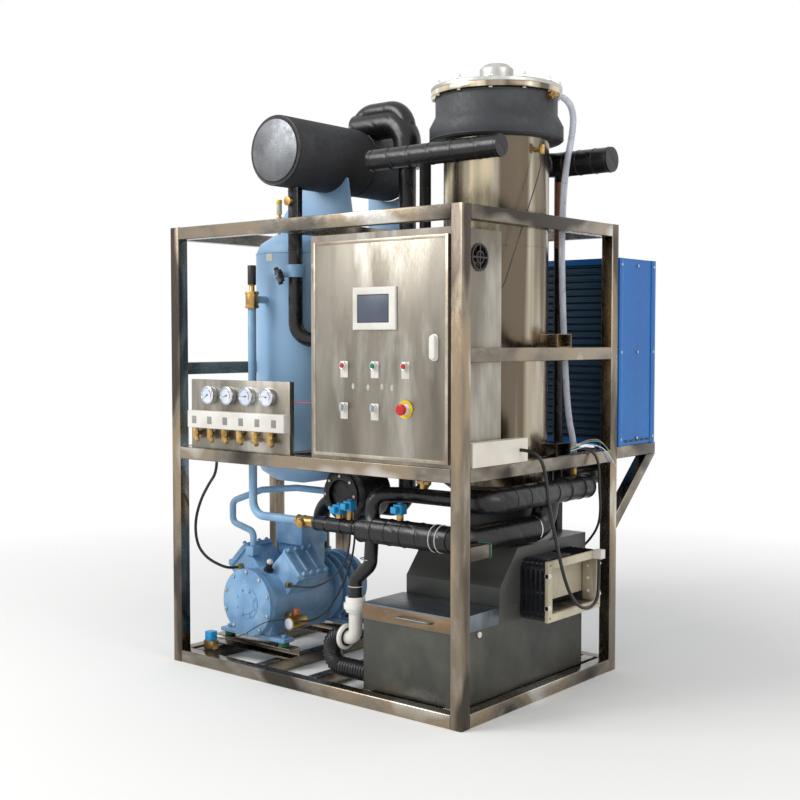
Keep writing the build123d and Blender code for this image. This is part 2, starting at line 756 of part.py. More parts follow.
def receiver_space():
    return Pos(RECEIVER_X, RECEIVER_Y, 0) * Cylinder(RECEIVER_R + SEAT, 4 * FRAME_H)


def vessel_space():
    """The room the separator takes, with the clearance of a seat."""
    return rod((VESSEL_X, 0, VESSEL_Z), (VESSEL_X, FRAME_D, VESSEL_Z), VESSEL_R + SEAT)


def liquid_pipe():
    """From the receiver's shut-off valve down and along to the brass line valve."""
    return pipe([(LIQUID_X, LIQUID_Y, ROTALOCK_Z[0] - SEAT), (LIQUID_X, LIQUID_Y, LINE_Z),
                 (600, LIQUID_Y, LINE_Z)], LIQUID_R, 60)


def discharge_pipe():
    """From the valve on the left bank up and over to the oil separator's left side."""
    return pipe([(206, 265, 468 + SEAT), (206, 265, 530), (80, 265, 560), (80, 265, 650),
                 (190, 330, 700), (330, 400, OIL_Z),
                 (OIL_X - OIL_R - SEAT, 400, OIL_Z)], 14, 30)


def down_valve():
    """The valve in the separator's down pipe, with its bonnet leaning to the front left."""
    body = rod((VESSEL_X, DOWN_Y, 1590), (VESSEL_X, DOWN_Y, 1640), 38)
    bonnet = rod(bonnet_point(0), bonnet_point(58), 15)
    return body + bonnet + rod(bonnet_point(50), bonnet_point(92), 6)


def bonnet_point(reach):
    """A point on the down valve's stem axis."""
    lean = Vector(*STEM).normalized() * reach
    return (VESSEL_X + lean.X, DOWN_Y + lean.Y, 1618 + lean.Z)


def valve_handwheel():
    """A five lobed handwheel on the down valve's stem."""
    place = Plane(origin=bonnet_point(64), z_dir=STEM)
    wheel = Circle(26)
    for i in range(5):
        a = radians(72 * i)
        wheel += Pos(28 * cos(a), 28 * sin(a)) * Circle(9)
    return extrude(place * (wheel - Circle(6 + RUN)), 16)


def blue_pipes():
    """The painted liquid, discharge and suction pipes with their shut-off valves."""
    valve = block((184, 228), (240, 290), (432, 468))
    nozzle = rod((LIQUID_X, 240, 1503), (LIQUID_X, LIQUID_Y + 26.3, 1503), 15) - receiver_space()
    suction = block((248, 322), (576, 604), (COMP_Z + MOTOR_R + SEAT, 414))
    suction += rod((COMP_X, 600, 412), (COMP_X, 600, 430), 44)
    return [liquid_pipe(), discharge_pipe(), valve - compressor_room(), nozzle, down_valve(),
            suction]


def compressor_room():
    """The compressor body and covers as one, for what is seated on them."""
    room = compressor_body()
    for cover in compressor_covers():
        room += cover
    return room


def insulated_pipes():
    """The black insulated suction, hot gas and water pipes."""
    top = VESSEL_Z - VESSEL_R - SEAT
    down = rod((VESSEL_X, DOWN_Y, 1640 + SEAT), (VESSEL_X, DOWN_Y, top + 6), LINE_R) - vessel_space()
    feed = pipe([(VESSEL_X, DOWN_Y, 1590 - SEAT), (VESSEL_X, DOWN_Y, 1340), (1040, 503, 1340)],
                LINE_R, 70) - shell_space()
    line = rod((700, LIQUID_Y, LINE_Z), (WRAP_X, LIQUID_Y, LINE_Z), LINE_R)
    wrap = pipe([(WRAP_X, LIQUID_Y, LINE_Z), (LINE_TURN_X, LIQUID_Y, LINE_Z),
                 (LINE_TURN_X + 44, 600, LINE_Z), (LINE_TURN_X + 58, 612, BIG_Z)], WRAP_R, 66)
    drop = pipe([(TEE_X, LIQUID_Y, LINE_Z), (TEE_X, 118, 500), (925, 105, 440),
                 (925, 105, 372 + SEAT)], 26, 40)
    return [down, feed, line + wrap + drop + big_pipe() + front_pipe(), rear_pipe(), bow_pipe()]


def big_pipe():
    """The pipe up from the line's tee and along the right side to its domed end."""
    riser = pipe([(TEE_X, LIQUID_Y, LINE_Z), (TEE_X, LIQUID_Y, BIG_Z), (1090, BIG_Y, BIG_Z),
                  (1335, BIG_Y, BIG_Z)], LINE_R, 50)
    run = pipe([(1330, BIG_Y, BIG_Z), (BIG_X, BIG_Y, BIG_Z), (BIG_X, BIG_END_Y, BIG_Z)], BIG_R, 80)
    cap = turned_along_y([(0, BIG_END_Y), (BIG_R, BIG_END_Y), (BIG_R - 12, BIG_END_Y + 20),
                          (0, BIG_END_Y + 28)], BIG_X, BIG_Z)
    return riser + run + cap


def front_pipe():
    """The capped pipe across the evaporator's front, with its nozzle and its drop."""
    y = FRONT_PIPE_Y
    z = FRONT_PIPE_Z
    run = rod((800, y, z), (1417, y, z), FRONT_PIPE_R)
    nozzle = rod((1300, y, z), (1300, y + 90, z), 30) - shell_space()
    drop = pipe([(1068, y, z), (1068, y, BIG_Z), (1068, BIG_Y - 20, BIG_Z - 1)], 22, 50)
    return run + nozzle + drop


def rear_pipe():
    """The capped pipe behind the evaporator, with its nozzle and its drop."""
    y = REAR_PIPE_Y
    z = REAR_PIPE_Z
    run = pipe([(1581, y, z), (1290, y, z), (1290, y - 90, z)], REAR_PIPE_R, 56) - shell_space()
    return run + rod((1345, y, HOUSING_TOP + SEAT), (1345, y, z), 20)


def bow_pipe():
    """The bow out of the separator's top and down to the compressor's suction valve."""
    y = 600
    path = [(BOW_X[0], y, VESSEL_Z + VESSEL_R - 40), (BOW_X[0], y, BOW_Z), (BOW_X[1], y, BOW_Z),
            (BOW_X[1], y, 640), (COMP_X, y, 640), (COMP_X, y, 430 + SEAT)]
    return pipe(path, BOW_R, 90) - vessel_space()


def brass_valves():
    """The brass line valve, shut-off valve, solenoid bodies, fittings and small switches."""
    line_valve = rod((600 + SEAT, LIQUID_Y, LINE_Z), (700 - SEAT, LIQUID_Y, LINE_Z), 21)
    line_valve += rod((640, LIQUID_Y - 34, LINE_Z - 6), (640, LIQUID_Y, LINE_Z), 17)
    shut_off = rod((LIQUID_X, LIQUID_Y, ROTALOCK_Z[0]), (LIQUID_X, LIQUID_Y, ROTALOCK_Z[1]), 26)
    shut_off += rod((LIQUID_X, LIQUID_Y, ROTALOCK_Z[1]), (LIQUID_X, LIQUID_Y, 1560), 11)
    cap = rod((LIQUID_X, LIQUID_Y, 1560 + SEAT), (LIQUID_X, LIQUID_Y, 1638), 16)
    bodies = [coil_stem(x) for x in COILS_X] + [block((92, 148), (84, 116), (TUBE, 84))]
    glass_z = FRAME_H + 90
    glass = rod((VESSEL_X, DOWN_Y - LINE_R - SEAT, glass_z), (VESSEL_X, DOWN_Y - 46, glass_z), 18)
    vent = rod((595, 600, VESSEL_Z + 60), (595, 600, VESSEL_Z + 150), 7) - vessel_space()
    vent += rod((595, 600, VESSEL_Z + 136), (595, 600, VESSEL_Z + 160), 14)
    return [line_valve, shut_off, cap, glass, vent] + bodies + small_fittings()


def coil_stem(x):
    """A solenoid valve's brass body, standing on the pipe it belongs to."""
    low = LINE_Z + (WRAP_R if x > WRAP_X else LINE_R)
    return rod((x, LIQUID_Y, low + SEAT), (x, LIQUID_Y, coil_z(x) - SEAT), 13)


def coil_z(x):
    """Underside of the coil above the pipe at one place."""
    return {COILS_X[0]: 676, COILS_X[1]: 694, COILS_X[2]: 702}[x]


def small_fittings():
    """Hose barbs, glands, the evaporator's valve, the filling fitting and the oil switch."""
    a = radians(-9)
    z = TOP_SHEET_Z - 12
    inner = SHELL_R - 13
    outer = SHELL_R + 33
    root = (EVAP_X + inner * cos(a), EVAP_Y + inner * sin(a), z)
    tip = (EVAP_X + outer * cos(a), EVAP_Y + outer * sin(a), z)
    valve = rod(root, tip, 9) + rod((tip[0], tip[1], z - 18), (tip[0], tip[1], z + 16), 11)
    z = FLANGE_Z - 16
    elbow = rod((EVAP_X + NECK_R + SEAT, 600, z), (1472, 600, z), 14)
    elbow += rod((1472, 600, z), (1472, 625, z), 10)
    barb = rod((HOSE_END[0], HOSE_END[1], 805.3), HOSE_END, 10)
    filler = hex_bar((1173, BIG_Y, BIG_Z + LINE_R + SEAT), (1173, BIG_Y, 832), 15)
    filler += hex_bar((1145, BIG_Y, 815), (1201, BIG_Y, 815), 11)
    motor_gland = rod((EVAP_X + 75 + SEAT, 965, 490), (EVAP_X + 95, 965, 490), 11)
    side_gland = rod((150, HEAD_Y[0] + 8, 378), (150, 225, 378), 12)
    sensor = block((430, 446), (226, HEAD_Y[0] + 8), (325, 345))
    switch = rod((414.4, 262, 200), (446, 262, 200), 20)
    switch += rod((462, 215, 182), (462, 300, 182), 27)
    return [valve - shell_space(), elbow, barb, filler, motor_gland, side_gland, sensor, switch]


def solenoid_coils():
    """The cyan coils on the brass bodies, one of them at the frame's foot."""
    half = COIL_SIDE / 2
    coils = [block((x - half, x + half), (LIQUID_Y - half, LIQUID_Y + half),
                   (coil_z(x), coil_z(x) + 36)) for x in COILS_X]
    coils.append(block((100, 140), (80, 120), (84 + SEAT, 122)))
    return [fillet(coil.edges().filter_by(Axis.Z), 8) for coil in coils]


# Condenser

def condenser_casing():
    """The blue sheet casing, open to the coil in front, with two fan rings in its back."""
    x = (0, FRAME_W)
    z = (COND_Z0, COND_Z1)
    case = open_box(x, (COND_Y0, COND_Y1), z, COND_SHEET, (1, 0))
    lip = block(x, (COND_Y0, COND_Y0 + COND_SHEET), z)
    lip -= block((30, FRAME_W - 30), (COND_Y0 - 1, COND_Y0 + 3), (COND_Z0 + 24, COND_Z1 - 24))
    case += lip
    for fan_x in FANS_X:
        front = (fan_x, COND_Y1 - 66, FAN_Z)
        back = (fan_x, COND_Y1, FAN_Z)
        case -= rod(front, (fan_x, COND_Y1 + 1, FAN_Z), FAN_RING_R)
        case += rod(front, back, FAN_RING_R + 2, FAN_RING_R - 6)
    for side in ((-3, 0), (FRAME_W, FRAME_W + 3)):
        for y in ((COND_Y0, COND_Y0 + 34), (COND_Y1 - 34, COND_Y1)):
            case += block(side, y, z)
    return case


def condenser_coil():
    """The finned coil, its face ribbed by its rows of tubes."""
    z0 = COND_Z0 + COND_SHEET + SEAT
    z1 = COND_Z1 - COND_SHEET - SEAT
    pitch = (z1 - z0) / COIL_ROWS
    outline = [(COIL_Y[1], z0), (COIL_Y[1], z1)]
    for row in reversed(range(COIL_ROWS)):
        top = z0 + pitch * (row + 1)
        outline += [(COIL_Y[0] + 5, top), (COIL_Y[0], top - pitch * 0.25),
                    (COIL_Y[0], top - pitch * 0.75)]
    outline.append((COIL_Y[0] + 5, z0))
    return extrude_x(outline, COND_SHEET + SEAT, FRAME_W - COND_SHEET - SEAT)


def fan_rotor(x):
    """An axial fan: a cup with pitched blades round it, open to the fixed motor at the back."""
    cup = rod((x, 1272, FAN_Z), (x, 1334, FAN_Z), 70)
    cup -= rod((x, 1290, FAN_Z), (x, 1335, FAN_Z), 46)
    blades = []
    for i in range(FAN_BLADES):
        blade = Pos(170, 0, 0) * Rot(32, 0, 0) * Box(220, 5, 92)
        turn = Rot(0, 360 / FAN_BLADES * i, 0)
        blades.append(Pos(x, 1303, FAN_Z) * turn * blade)
    room = rod((x, 1272, FAN_Z), (x, 1334, FAN_Z), FAN_R)
    for blade in blades:
        cup += (blade & room) - rod((x, 1270, FAN_Z), (x, 1336, FAN_Z), 60)
    return cup


def fan_guards():
    """The guards over the condenser fans with their motors, and the cabinet fan's frame."""
    guards = []
    for x in FANS_X:
        y0 = COND_Y1 + SEAT
        guard = rod((x, y0, FAN_Z), (x, y0 + 4, FAN_Z), FAN_RING_R + 6, FAN_RING_R - 6)
        guard += rod((x, y0, FAN_Z), (x, y0 + 4, FAN_Z), 186, 178)
        guard += rod((x, y0, FAN_Z), (x, y0 + 4, FAN_Z), 76)
        for i in range(6):
            spoke = Pos(x, y0 + 2, FAN_Z) * Rot(0, 60 * i, 0) * Pos(185, 0, 0) * Box(230, 4, 8)
            guard += spoke
        guard += rod((x, 1292, FAN_Z), (x, y0 + 2, FAN_Z), 45)
        guards.append(guard)
    return guards + cabinet_fan_frame()


def cabinet_fan_frame():
    """The square frame inside the cabinet's wall and the round finger guard outside it."""
    y = CAB_FAN_Y
    z = CAB_FAN_Z
    inner = CAB_X1 - CAB_SHEET - SEAT
    frame = block((inner - 26, inner), (y - 46, y + 46), (z - 46, z + 46))
    frame -= rod((inner - 30, y, z), (inner + 1, y, z), CAB_FAN_R + 2)
    frame += block((inner - 26, inner - 22), (y - 44, y + 44), (z - 5, z + 5))
    frame += rod((inner - 26, y, z), (inner - 6, y, z), 4)
    guard = rod((CAB_X1 + SEAT, y, z), (CAB_X1 + 5, y, z), CAB_FAN_R + 9, CAB_FAN_R + 2)
    guard += rod((CAB_X1 + SEAT, y, z), (CAB_X1 + 5, y, z), 24, 19)
    guard += block((CAB_X1 + SEAT, CAB_X1 + 5), (y - 44, y + 44), (z - 3, z + 3))
    guard += block((CAB_X1 + SEAT, CAB_X1 + 5), (y - 3, y + 3), (z - 44, z + 44))
    return [frame, guard]


def cabinet_fan():
    """The small fan that airs the cabinet."""
    y = CAB_FAN_Y
    z = CAB_FAN_Z
    x1 = CAB_X1 - CAB_SHEET - SEAT - 4
    fan = rod((x1 - 16, y, z), (x1, y, z), 15)
    for i in range(5):
        blade = Pos(x1 - 8, y, z) * Rot(72 * i, 0, 0) * Pos(0, 0, 24) * Rot(0, 0, 35)
        fan += blade * Box(2, 18, 26)
    return fan - rod((x1 - 17, y, z), (x1 - 2 + RUN, y, z), 4 + RUN)


# Control cabinet

def cabinet_box():
    """The cabinet's welded box with its front lip, fan hole and hinge knuckles."""
    x = (CAB_X0, CAB_X1)
    z = (CAB_Z0, CAB_Z1)
    box = open_box(x, (CAB_Y0, CAB_Y1), z, CAB_SHEET, (1, 0))
    lip = block(x, (CAB_Y0, CAB_Y0 + CAB_SHEET), z)
    lip -= block((CAB_X0 + CAB_LIP, CAB_X1 - CAB_LIP), (CAB_Y0 - 1, CAB_Y0 + 3),
                 (CAB_Z0 + CAB_LIP, CAB_Z1 - CAB_LIP))
    box += lip
    box -= rod((CAB_X1 - 5, CAB_FAN_Y, CAB_FAN_Z), (CAB_X1 + 1, CAB_FAN_Y, CAB_FAN_Z), CAB_FAN_R)
    for z0 in HINGES_Z:
        box += rod((HINGE_X, 9, z0), (HINGE_X, 9, z0 + 30), HINGE_R)
        box += block((HINGE_X - 3, HINGE_X + 3), (9, CAB_Y0), (z0, z0 + 30))
        box += rod((HINGE_X, 9, z0), (HINGE_X, 9, z0 + 58), HINGE_PIN_R)
    return box


def cabinet_door():
    """The door, a folded pan that lies on the cabinet's lip and turns on two pins."""
    pan = open_box((DOOR_X0, DOOR_X1), (DOOR_FACE, CAB_Y0 - SEAT), (DOOR_Z0, DOOR_Z1),
                   DOOR_SHEET, (1, 1))
    for z0 in HINGES_Z:
        low = z0 + 30 + SEAT
        knuckle = rod((HINGE_X, 9, low), (HINGE_X, 9, low + 30), HINGE_R)
        knuckle += block((HINGE_X, DOOR_X0 + 1), (5, 13), (low, low + 30))
        pan += knuckle - rod((HINGE_X, 9, low - 1), (HINGE_X, 9, low + 31), HINGE_PIN_R + 0.1)
    return pan


def holder(x, z, plate=True):
    """A button's collar, on its label holder plate where it has one."""
    back = DOOR_FACE - SEAT
    ring = rod((x, back - 1.5, z), (x, back - 1.5 - COLLAR_DEEP, z), COLLAR_RIM, COLLAR_BORE)
    if plate:
        return ring + block((x - 18, x + 18), (back - 1.5, back), (z - 44, z + 16))
    return ring + rod((x, back - 1.5, z), (x, back, z), 30)


def door_fittings():
    """The screen in its bezel, the buttons' holders, the stop's disc and the latch plate."""
    back = DOOR_FACE - SEAT
    bezel = block(SCREEN_X, (back - 9, back), SCREEN_Z)
    bezel = chamfer(bezel.faces().sort_by(Axis.Y)[0].edges(), 3)
    bezel -= block((SCREEN_X[0] + 24, SCREEN_X[1] - 30), (back - 10, back - 7.5),
                   (SCREEN_Z[0] + 26, SCREEN_Z[1] - 26))
    holders = [holder(x, BUTTON_Z) for x in BUTTONS_X]
    holders += [holder(x, SELECTOR_Z) for x in BUTTONS_X[:2]]
    holders.append(holder(BUTTONS_X[2], SELECTOR_Z, plate=False))
    plate = block((LATCH_X - 16, LATCH_X + 16), (back - 4, back), LATCH_Z)
    return [bezel, fillet(plate.edges().filter_by(Axis.Y), 14)] + holders


def door_latch():
    """The latch lever on its plate, turned on a pivot near its top."""
    back = DOOR_FACE - SEAT - 4 - SEAT
    lever = block((LATCH_X - 12, LATCH_X + 12), (back - 14, back), (LATCH_Z[0] + 5, LATCH_Z[1] - 5))
    return fillet(lever.edges().filter_by(Axis.Y), 11)


def push_button(x):
    """A button's cap with its stem, free to travel in the collar."""
    back = DOOR_FACE - SEAT - 1.5
    radius = COLLAR_BORE - RUN
    cap = rod((x, back - 4.5, BUTTON_Z), (x, back - COLLAR_DEEP - 6, BUTTON_Z), radius)
    return chamfer(cap.faces().sort_by(Axis.Y)[0].edges(), 2)


def selector(x):
    """A turning knob with a grip bar across its face."""
    back = DOOR_FACE - SEAT - 1.5
    front = back - COLLAR_DEEP - RUN
    knob = rod((x, back - SEAT, SELECTOR_Z), (x, front, SELECTOR_Z), COLLAR_BORE - RUN)
    return knob + block((x - 4, x + 4), (front - 10, front), (SELECTOR_Z - 13, SELECTOR_Z + 13))


def emergency_stop():
    """The red mushroom head on its stem."""
    x = BUTTONS_X[2]
    back = DOOR_FACE - SEAT - 1.5
    front = back - COLLAR_DEEP
    stem = rod((x, back - 6.5, SELECTOR_Z), (x, front - 8, SELECTOR_Z), COLLAR_BORE - RUN)
    cap = rod((x, front - 6.8, SELECTOR_Z), (x, front - 24, SELECTOR_Z), 20)
    return stem + chamfer(cap.faces().sort_by(Axis.Y)[0].edges(), 5)


def cabinet_gear():
    """The mounting plate on its studs, with rows of breakers and contactors."""
    plate = block((830, 1380), (284, 287), (950, 1680))
    for x in (850, 1360):
        for z in (970, 1660):
            plate += rod((x, 286, z), (x, CAB_Y1 - CAB_SHEET, z), 6)
    rows = [(1560, 80, 6, 70), (1400, 95, 5, 95), (1190, 110, 4, 110)]
    devices = []
    for z, height, count, depth in rows:
        for i in range(count):
            x = 850 + i * 500 / count
            devices.append(block((x, x + 500 / count - 22), (284 - SEAT - depth, 284 - SEAT),
                                 (z, z + height)))
    return [plate] + devices


# Gauge panel

def gauge_panel():
    return open_box((PANEL_X0, PANEL_X1), (PANEL_Y, PANEL_Y + 60), (DECK_TOP, PANEL_Z1), 2, (1, 1))


def gauges():
    """Four round pressure gauges with raised rims."""
    back = PANEL_Y - SEAT
    profile = [(0, back), (GAUGE_R, back), (GAUGE_R, back - 24), (GAUGE_R - 5, back - 27),
               (GAUGE_R - 6, back - 22), (0, back - 22)]
    return [turned_along_y(profile, x, GAUGE_Z) for x in GAUGES_X]


def valve_strip():
    """The white cover strip over the row of small valves."""
    strip = block((130, 680), (-28, PANEL_Y - SEAT), (STRIP_Z0, STRIP_Z1))
    return chamfer(strip.faces().sort_by(Axis.Y)[0].edges(), 3)


def strip_valves():
    """The row of small brass strainer valves under the strip."""
    valves = []
    for i in range(VALVES):
        x = 162 + 85.2 * i
        valve = hex_bar((x, -10, 938), (x, -10, STRIP_Z0 - SEAT), 13)
        valve += hex_bar((x, -10, 956), (x + 26, -24, 934), 10)
        valve += hex_bar((x, -10, 962), (x, PANEL_Y - SEAT, 962), 9)
        valves.append(valve)
    return valves


def trunking():
    """The white cable duct on the right rail, open at its back end, and two cable clips."""
    duct = open_box((CAB_X1 + 6, FRAME_W), (62, 400), (DECK_TOP, 985), 2.5, (1, 1))
    side_clip = block((195, 215), (TUBE, 74), (852, 872))
    line_clip = block((826, 874), (LIQUID_Y + LINE_R + SEAT, 182), (604, 634))
    return [duct, side_clip, line_clip]


# Cords

def hose_clear():
    """The clear water hose from the neck's elbow down to the large pipe's barb."""
    x, y, z = HOSE_END
    route = [(1472, 625 + SEAT, 2252), (1472, 695, 2252), (1474, 744, 2203), (1470, 737, 2110),
             (1455, 724, 2015), (1432, 738, 1880), (1424, 741, 1650), (1427, 762, 1290),
             (1424, 797, 1040), (x, y, 930), (x, y, z + SEAT)]
    return cord("hose_clear", route, HOSE_D)


def cable_loop():
    """The cable from the trunking, looped in front of the outlet up to its switch."""
    x = DUCT_END + OUTLET_T + 19
    route = [(FRAME_W + SEAT, 352, 944), (1558, 352, 944), (1596, 362, 898), (1592, 398, 750),
             (1598, 441, 606), (1604, 492, 455), (1606, 563, 361), (1606, 650, 328),
             (1602, 728, 346), (x, 766, 404), (x, 766, 503 - SEAT)]
    return cord("cable_loop", route, CABLE_D)


def cable_bare_end():
    """The cutter motor's cable, laid over the rail with its wires bare, and the wires."""
    start = (EVAP_X + 95 + SEAT, 965, 490)
    end = (1462, 735, 912)
    route = [start, (1380, 965, 490), (1442, 945, 542), (1492, 922, 604), (1522, 885, 680),
             (1527, 862, 770), (1525, 866, 858), (1507, 846, 908), (1480, 785, 922), end]
    away = (Vector(*end) - Vector(*route[-2])).normalized()
    first = Vector(*end) + away * SEAT
    second = Vector(*end) + away * 22
    wires = [tuple(first), tuple(second), (1472, 700, 909), (1492, 716, 920),
             (1502, 765, 932), (1513, 840, 938), (1520, 905, 918), (1522, 972, 850)]
    return cord("cable_bare_end", route, BARE_CABLE_D), cord("bare_wires", wires, WIRES_D)


def cable_left():
    """The cable that hangs in the left bay, from its clip to the compressor."""
    route = [(205, 62, 852 - SEAT), (205, 62, 800), (150, 66, 745), (88, 74, 670), (42, 84, 575),
             (38, 98, 480), (72, 118, 425), (125, 150, 392), (150, 186, 378), (150, 225 - SEAT, 378)]
    return cord("cable_left", route, SIDE_CABLE_D)


def cable_compressor():
    """The two thin cables from the line's clip to the head sensor and the oil switch."""
    first = [(838, 172, 604 - SEAT), (838, 172, 560), (800, 190, 480), (715, 212, 405),
             (610, 232, 352), (520, 238, 335), (446 + SEAT, 238, 335)]
    second = [(862, 172, 604 - SEAT), (862, 172, 560), (818, 192, 460), (745, 214, 350),
              (655, 234, 255), (560, 254, 200), (489 + SEAT, 257, 190)]
    return (cord("cable_compressor", first, SWITCH_CABLE_D),
            cord("cable_switch", second, SWITCH_CABLE_D))


def build():
    """Every node, in the order in which the machine is put together."""
    nodes = {
        "posts": posts(), "top_rails": top_rails(), "mid_rails": mid_rails(),
        "side_rails": side_rails(), "base_rails": base_rails(),
        "condenser_bracket": condenser_bracket(),
        "compressor_body": [compressor_body()], "compressor_covers": compressor_covers(),
        "compressor_feet": compressor_feet(), "blue_pipes": blue_pipes(),
        "bolts": lid_bolts() + cover_bolts(), "evaporator_shell": [evaporator_shell()],
        "tube_bundle": [tube_bundle()], "evaporator_insulation": evaporator_insulation(),
        "evaporator_lid": [evaporator_lid()], "cutter_housing": [cutter_housing()],
        "cutter_gearmotor": [cutter_gearmotor()], "cutter_rotor": [cutter_rotor()],
        "ice_duct": [ice_duct()], "outlet_flange": [outlet_flange()],
        "outlet_flap": [outlet_flap()], "outlet_sensor": [outlet_sensor()],
        "water_tank": [water_tank()], "tank_lid": [tank_lid()], "water_pump": [water_pump()],
        "pvc_pipes": pvc_pipes() + [drain_elbow()], "receiver": [receiver()],
        "separator": separator(), "saddles": saddles(),
        "oil_separator": oil_separator(), "valve_handwheel": [valve_handwheel()],
        "insulated_pipes": insulated_pipes(), "brass_valves": brass_valves() + strip_valves(),
        "solenoid_coils": solenoid_coils(), "condenser_casing": [condenser_casing()],
        "condenser_coil": [condenser_coil()], "fan_guards": fan_guards(),
        "fan_rotor_left": [fan_rotor(FANS_X[0])], "fan_rotor_right": [fan_rotor(FANS_X[1])],
        "cabinet_fan": [cabinet_fan()], "cabinet_box": [cabinet_box()],
        "cabinet_gear": cabinet_gear(), "cabinet_door": [cabinet_door()],
        "door_fittings": door_fittings(), "door_latch": [door_latch()],
        "button_left": [push_button(BUTTONS_X[0])], "button_middle": [push_button(BUTTONS_X[1])],
        "button_right": [push_button(BUTTONS_X[2])], "selector_left": [selector(BUTTONS_X[0])],
        "selector_middle": [selector(BUTTONS_X[1])], "emergency_stop": [emergency_stop()],
        "gauge_panel": [gauge_panel()], "gauges": gauges(), "valve_strip": [valve_strip()],
        "trunking": trunking(), "hose_clear": [hose_clear()], "cable_loop": [cable_loop()],
        "cable_bare_end": cable_bare_end(), "cable_left": [cable_left()],
        "cable_compressor": cable_compressor(),
    }
    os.makedirs("parts", exist_ok=True)
    for name, shapes in nodes.items():
        save(name, *shapes)


build()
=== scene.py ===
import logging
import math
from dataclasses import dataclass
from enum import Enum
from typing import ClassVar, Iterable, Iterator, Sequence

import bmesh
import bpy
from mathutils import Matrix, Vector


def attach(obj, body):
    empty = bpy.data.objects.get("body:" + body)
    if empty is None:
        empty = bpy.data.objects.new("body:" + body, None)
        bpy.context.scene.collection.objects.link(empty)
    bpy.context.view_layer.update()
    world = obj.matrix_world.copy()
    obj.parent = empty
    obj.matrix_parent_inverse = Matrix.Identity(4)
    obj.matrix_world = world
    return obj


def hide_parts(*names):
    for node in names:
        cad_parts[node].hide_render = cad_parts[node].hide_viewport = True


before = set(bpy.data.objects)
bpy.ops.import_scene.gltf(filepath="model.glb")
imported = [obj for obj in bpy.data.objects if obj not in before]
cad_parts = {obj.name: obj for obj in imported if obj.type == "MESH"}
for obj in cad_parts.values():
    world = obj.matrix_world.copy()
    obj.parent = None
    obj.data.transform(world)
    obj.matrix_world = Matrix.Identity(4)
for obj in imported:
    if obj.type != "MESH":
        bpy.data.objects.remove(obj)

log = logging.getLogger("ice_machine")
Point = tuple[float, float, float]
Shade = tuple[int, int, int]
Colour = tuple[float, float, float, float]
Tree = bpy.types.NodeTree
Socket = bpy.types.NodeSocket
Sockets = bpy.types.bpy_prop_collection
Value = Socket | float | Point | Colour

FRAME_CENTRE = (0.75, 0.525)  # metres from the frame's front left foot
MERGE = 1e-6  # metres: closer vertices of a made shape become one
CAD_MERGE = 2e-5  # metres: closer vertices of the part's own meshes become one
CAD_FLAT = 0.01  # radians: flatter edges of the part's own meshes are dissolved
MADE_EDGE = 0.6  # radians: sharper edges of a made shape are rounded
CAD_EDGE = 0.7  # radians: sharper edges of the part's own meshes are rounded
SMOOTH = math.radians(38)  # faces shade as one surface up to this angle
RELIEF_DEPTH = 0.002  # metres: how deep a finish's relief goes at full strength
LAP = (0.0, 0.35)  # the share of a band that its lap takes


def at(x: float, y: float, z: float) -> Point:
    """A point given in millimetres from the frame's front left foot, in metres from its centre."""
    return (x / 1000 - FRAME_CENTRE[0], y / 1000 - FRAME_CENTRE[1], z / 1000)


def tone(red: int, green: int, blue: int) -> Colour:
    """A screen colour of 0 to 255 as the renderer's linear colour."""
    def linear(value: int) -> float:
        """One channel."""
        share = value / 255
        return share / 12.92 if share <= 0.04045 else ((share + 0.055) / 1.055) ** 2.4
    return (linear(red), linear(green), linear(blue), 1.0)


class Axis(Enum):
    """The row axis that something runs along."""

    X = (1.0, 0.0, 0.0)
    Y = (0.0, 1.0, 0.0)
    Z = (0.0, 0.0, 1.0)


def direction(axis: Axis | Point) -> Vector:
    """The way an axis points, at unit length."""
    return Vector(axis.value if isinstance(axis, Axis) else axis).normalized()


def around(first: float, second: float, radius: float, count: int,
           start: float = 0.0) -> Iterator[tuple[float, float]]:
    """Evenly spaced points on a circle, the first one turned by a share of a space."""
    for i in range(count):
        a = math.tau * (i + start) / count
        yield first + radius * math.cos(a), second + radius * math.sin(a)


def link(name: str, data: bpy.types.ID) -> bpy.types.Object:
    """Make an object of some data, and put it in the scene."""
    piece = bpy.data.objects.new(name, data)
    bpy.context.scene.collection.objects.link(piece)
    return piece


class Kind(Enum):
    """What an operation node works on."""

    NUMBERS = "ShaderNodeMath"
    VECTORS = "ShaderNodeVectorMath"


# Shader groups


def new_group(name: str, inputs: Iterable[tuple[str, str]],
              outputs: Iterable[tuple[str, str]]) -> tuple[Tree, Sockets, Sockets]:
    """Start a shader node group.

    Args:
        name: the group's name.
        inputs: name and socket kind of each input.
        outputs: name and socket kind of each output.

    Returns:
        The tree, the sockets that come in and the sockets that go out.
    """
    tree = bpy.data.node_groups.new(name, "ShaderNodeTree")
    for way, sockets in (("INPUT", inputs), ("OUTPUT", outputs)):
        for label, kind in sockets:
            tree.interface.new_socket(label, in_out=way, socket_type=f"NodeSocket{kind}")
    return (tree, tree.nodes.new("NodeGroupInput").outputs,
            tree.nodes.new("NodeGroupOutput").inputs)


def new_material(name: str) -> tuple[bpy.types.Material, Tree, Sockets, Socket]:
    """Start a material: the material, its tree, its shader's inputs and object coordinates."""
    material = bpy.data.materials.new(name)
    material.use_nodes = True
    tree = material.node_tree
    vector = tree.nodes.new("ShaderNodeTexCoord").outputs["Object"]
    return material, tree, tree.nodes["Principled BSDF"].inputs, vector


def feed(tree: Tree, inputs: Sockets, values: dict[str | int, Value]) -> None:
    """Give inputs their values by name or number: a link from a socket, or a plain value."""
    for label, value in values.items():
        if isinstance(value, Socket):
            tree.links.new(value, inputs[label])
        else:
            inputs[label].default_value = value


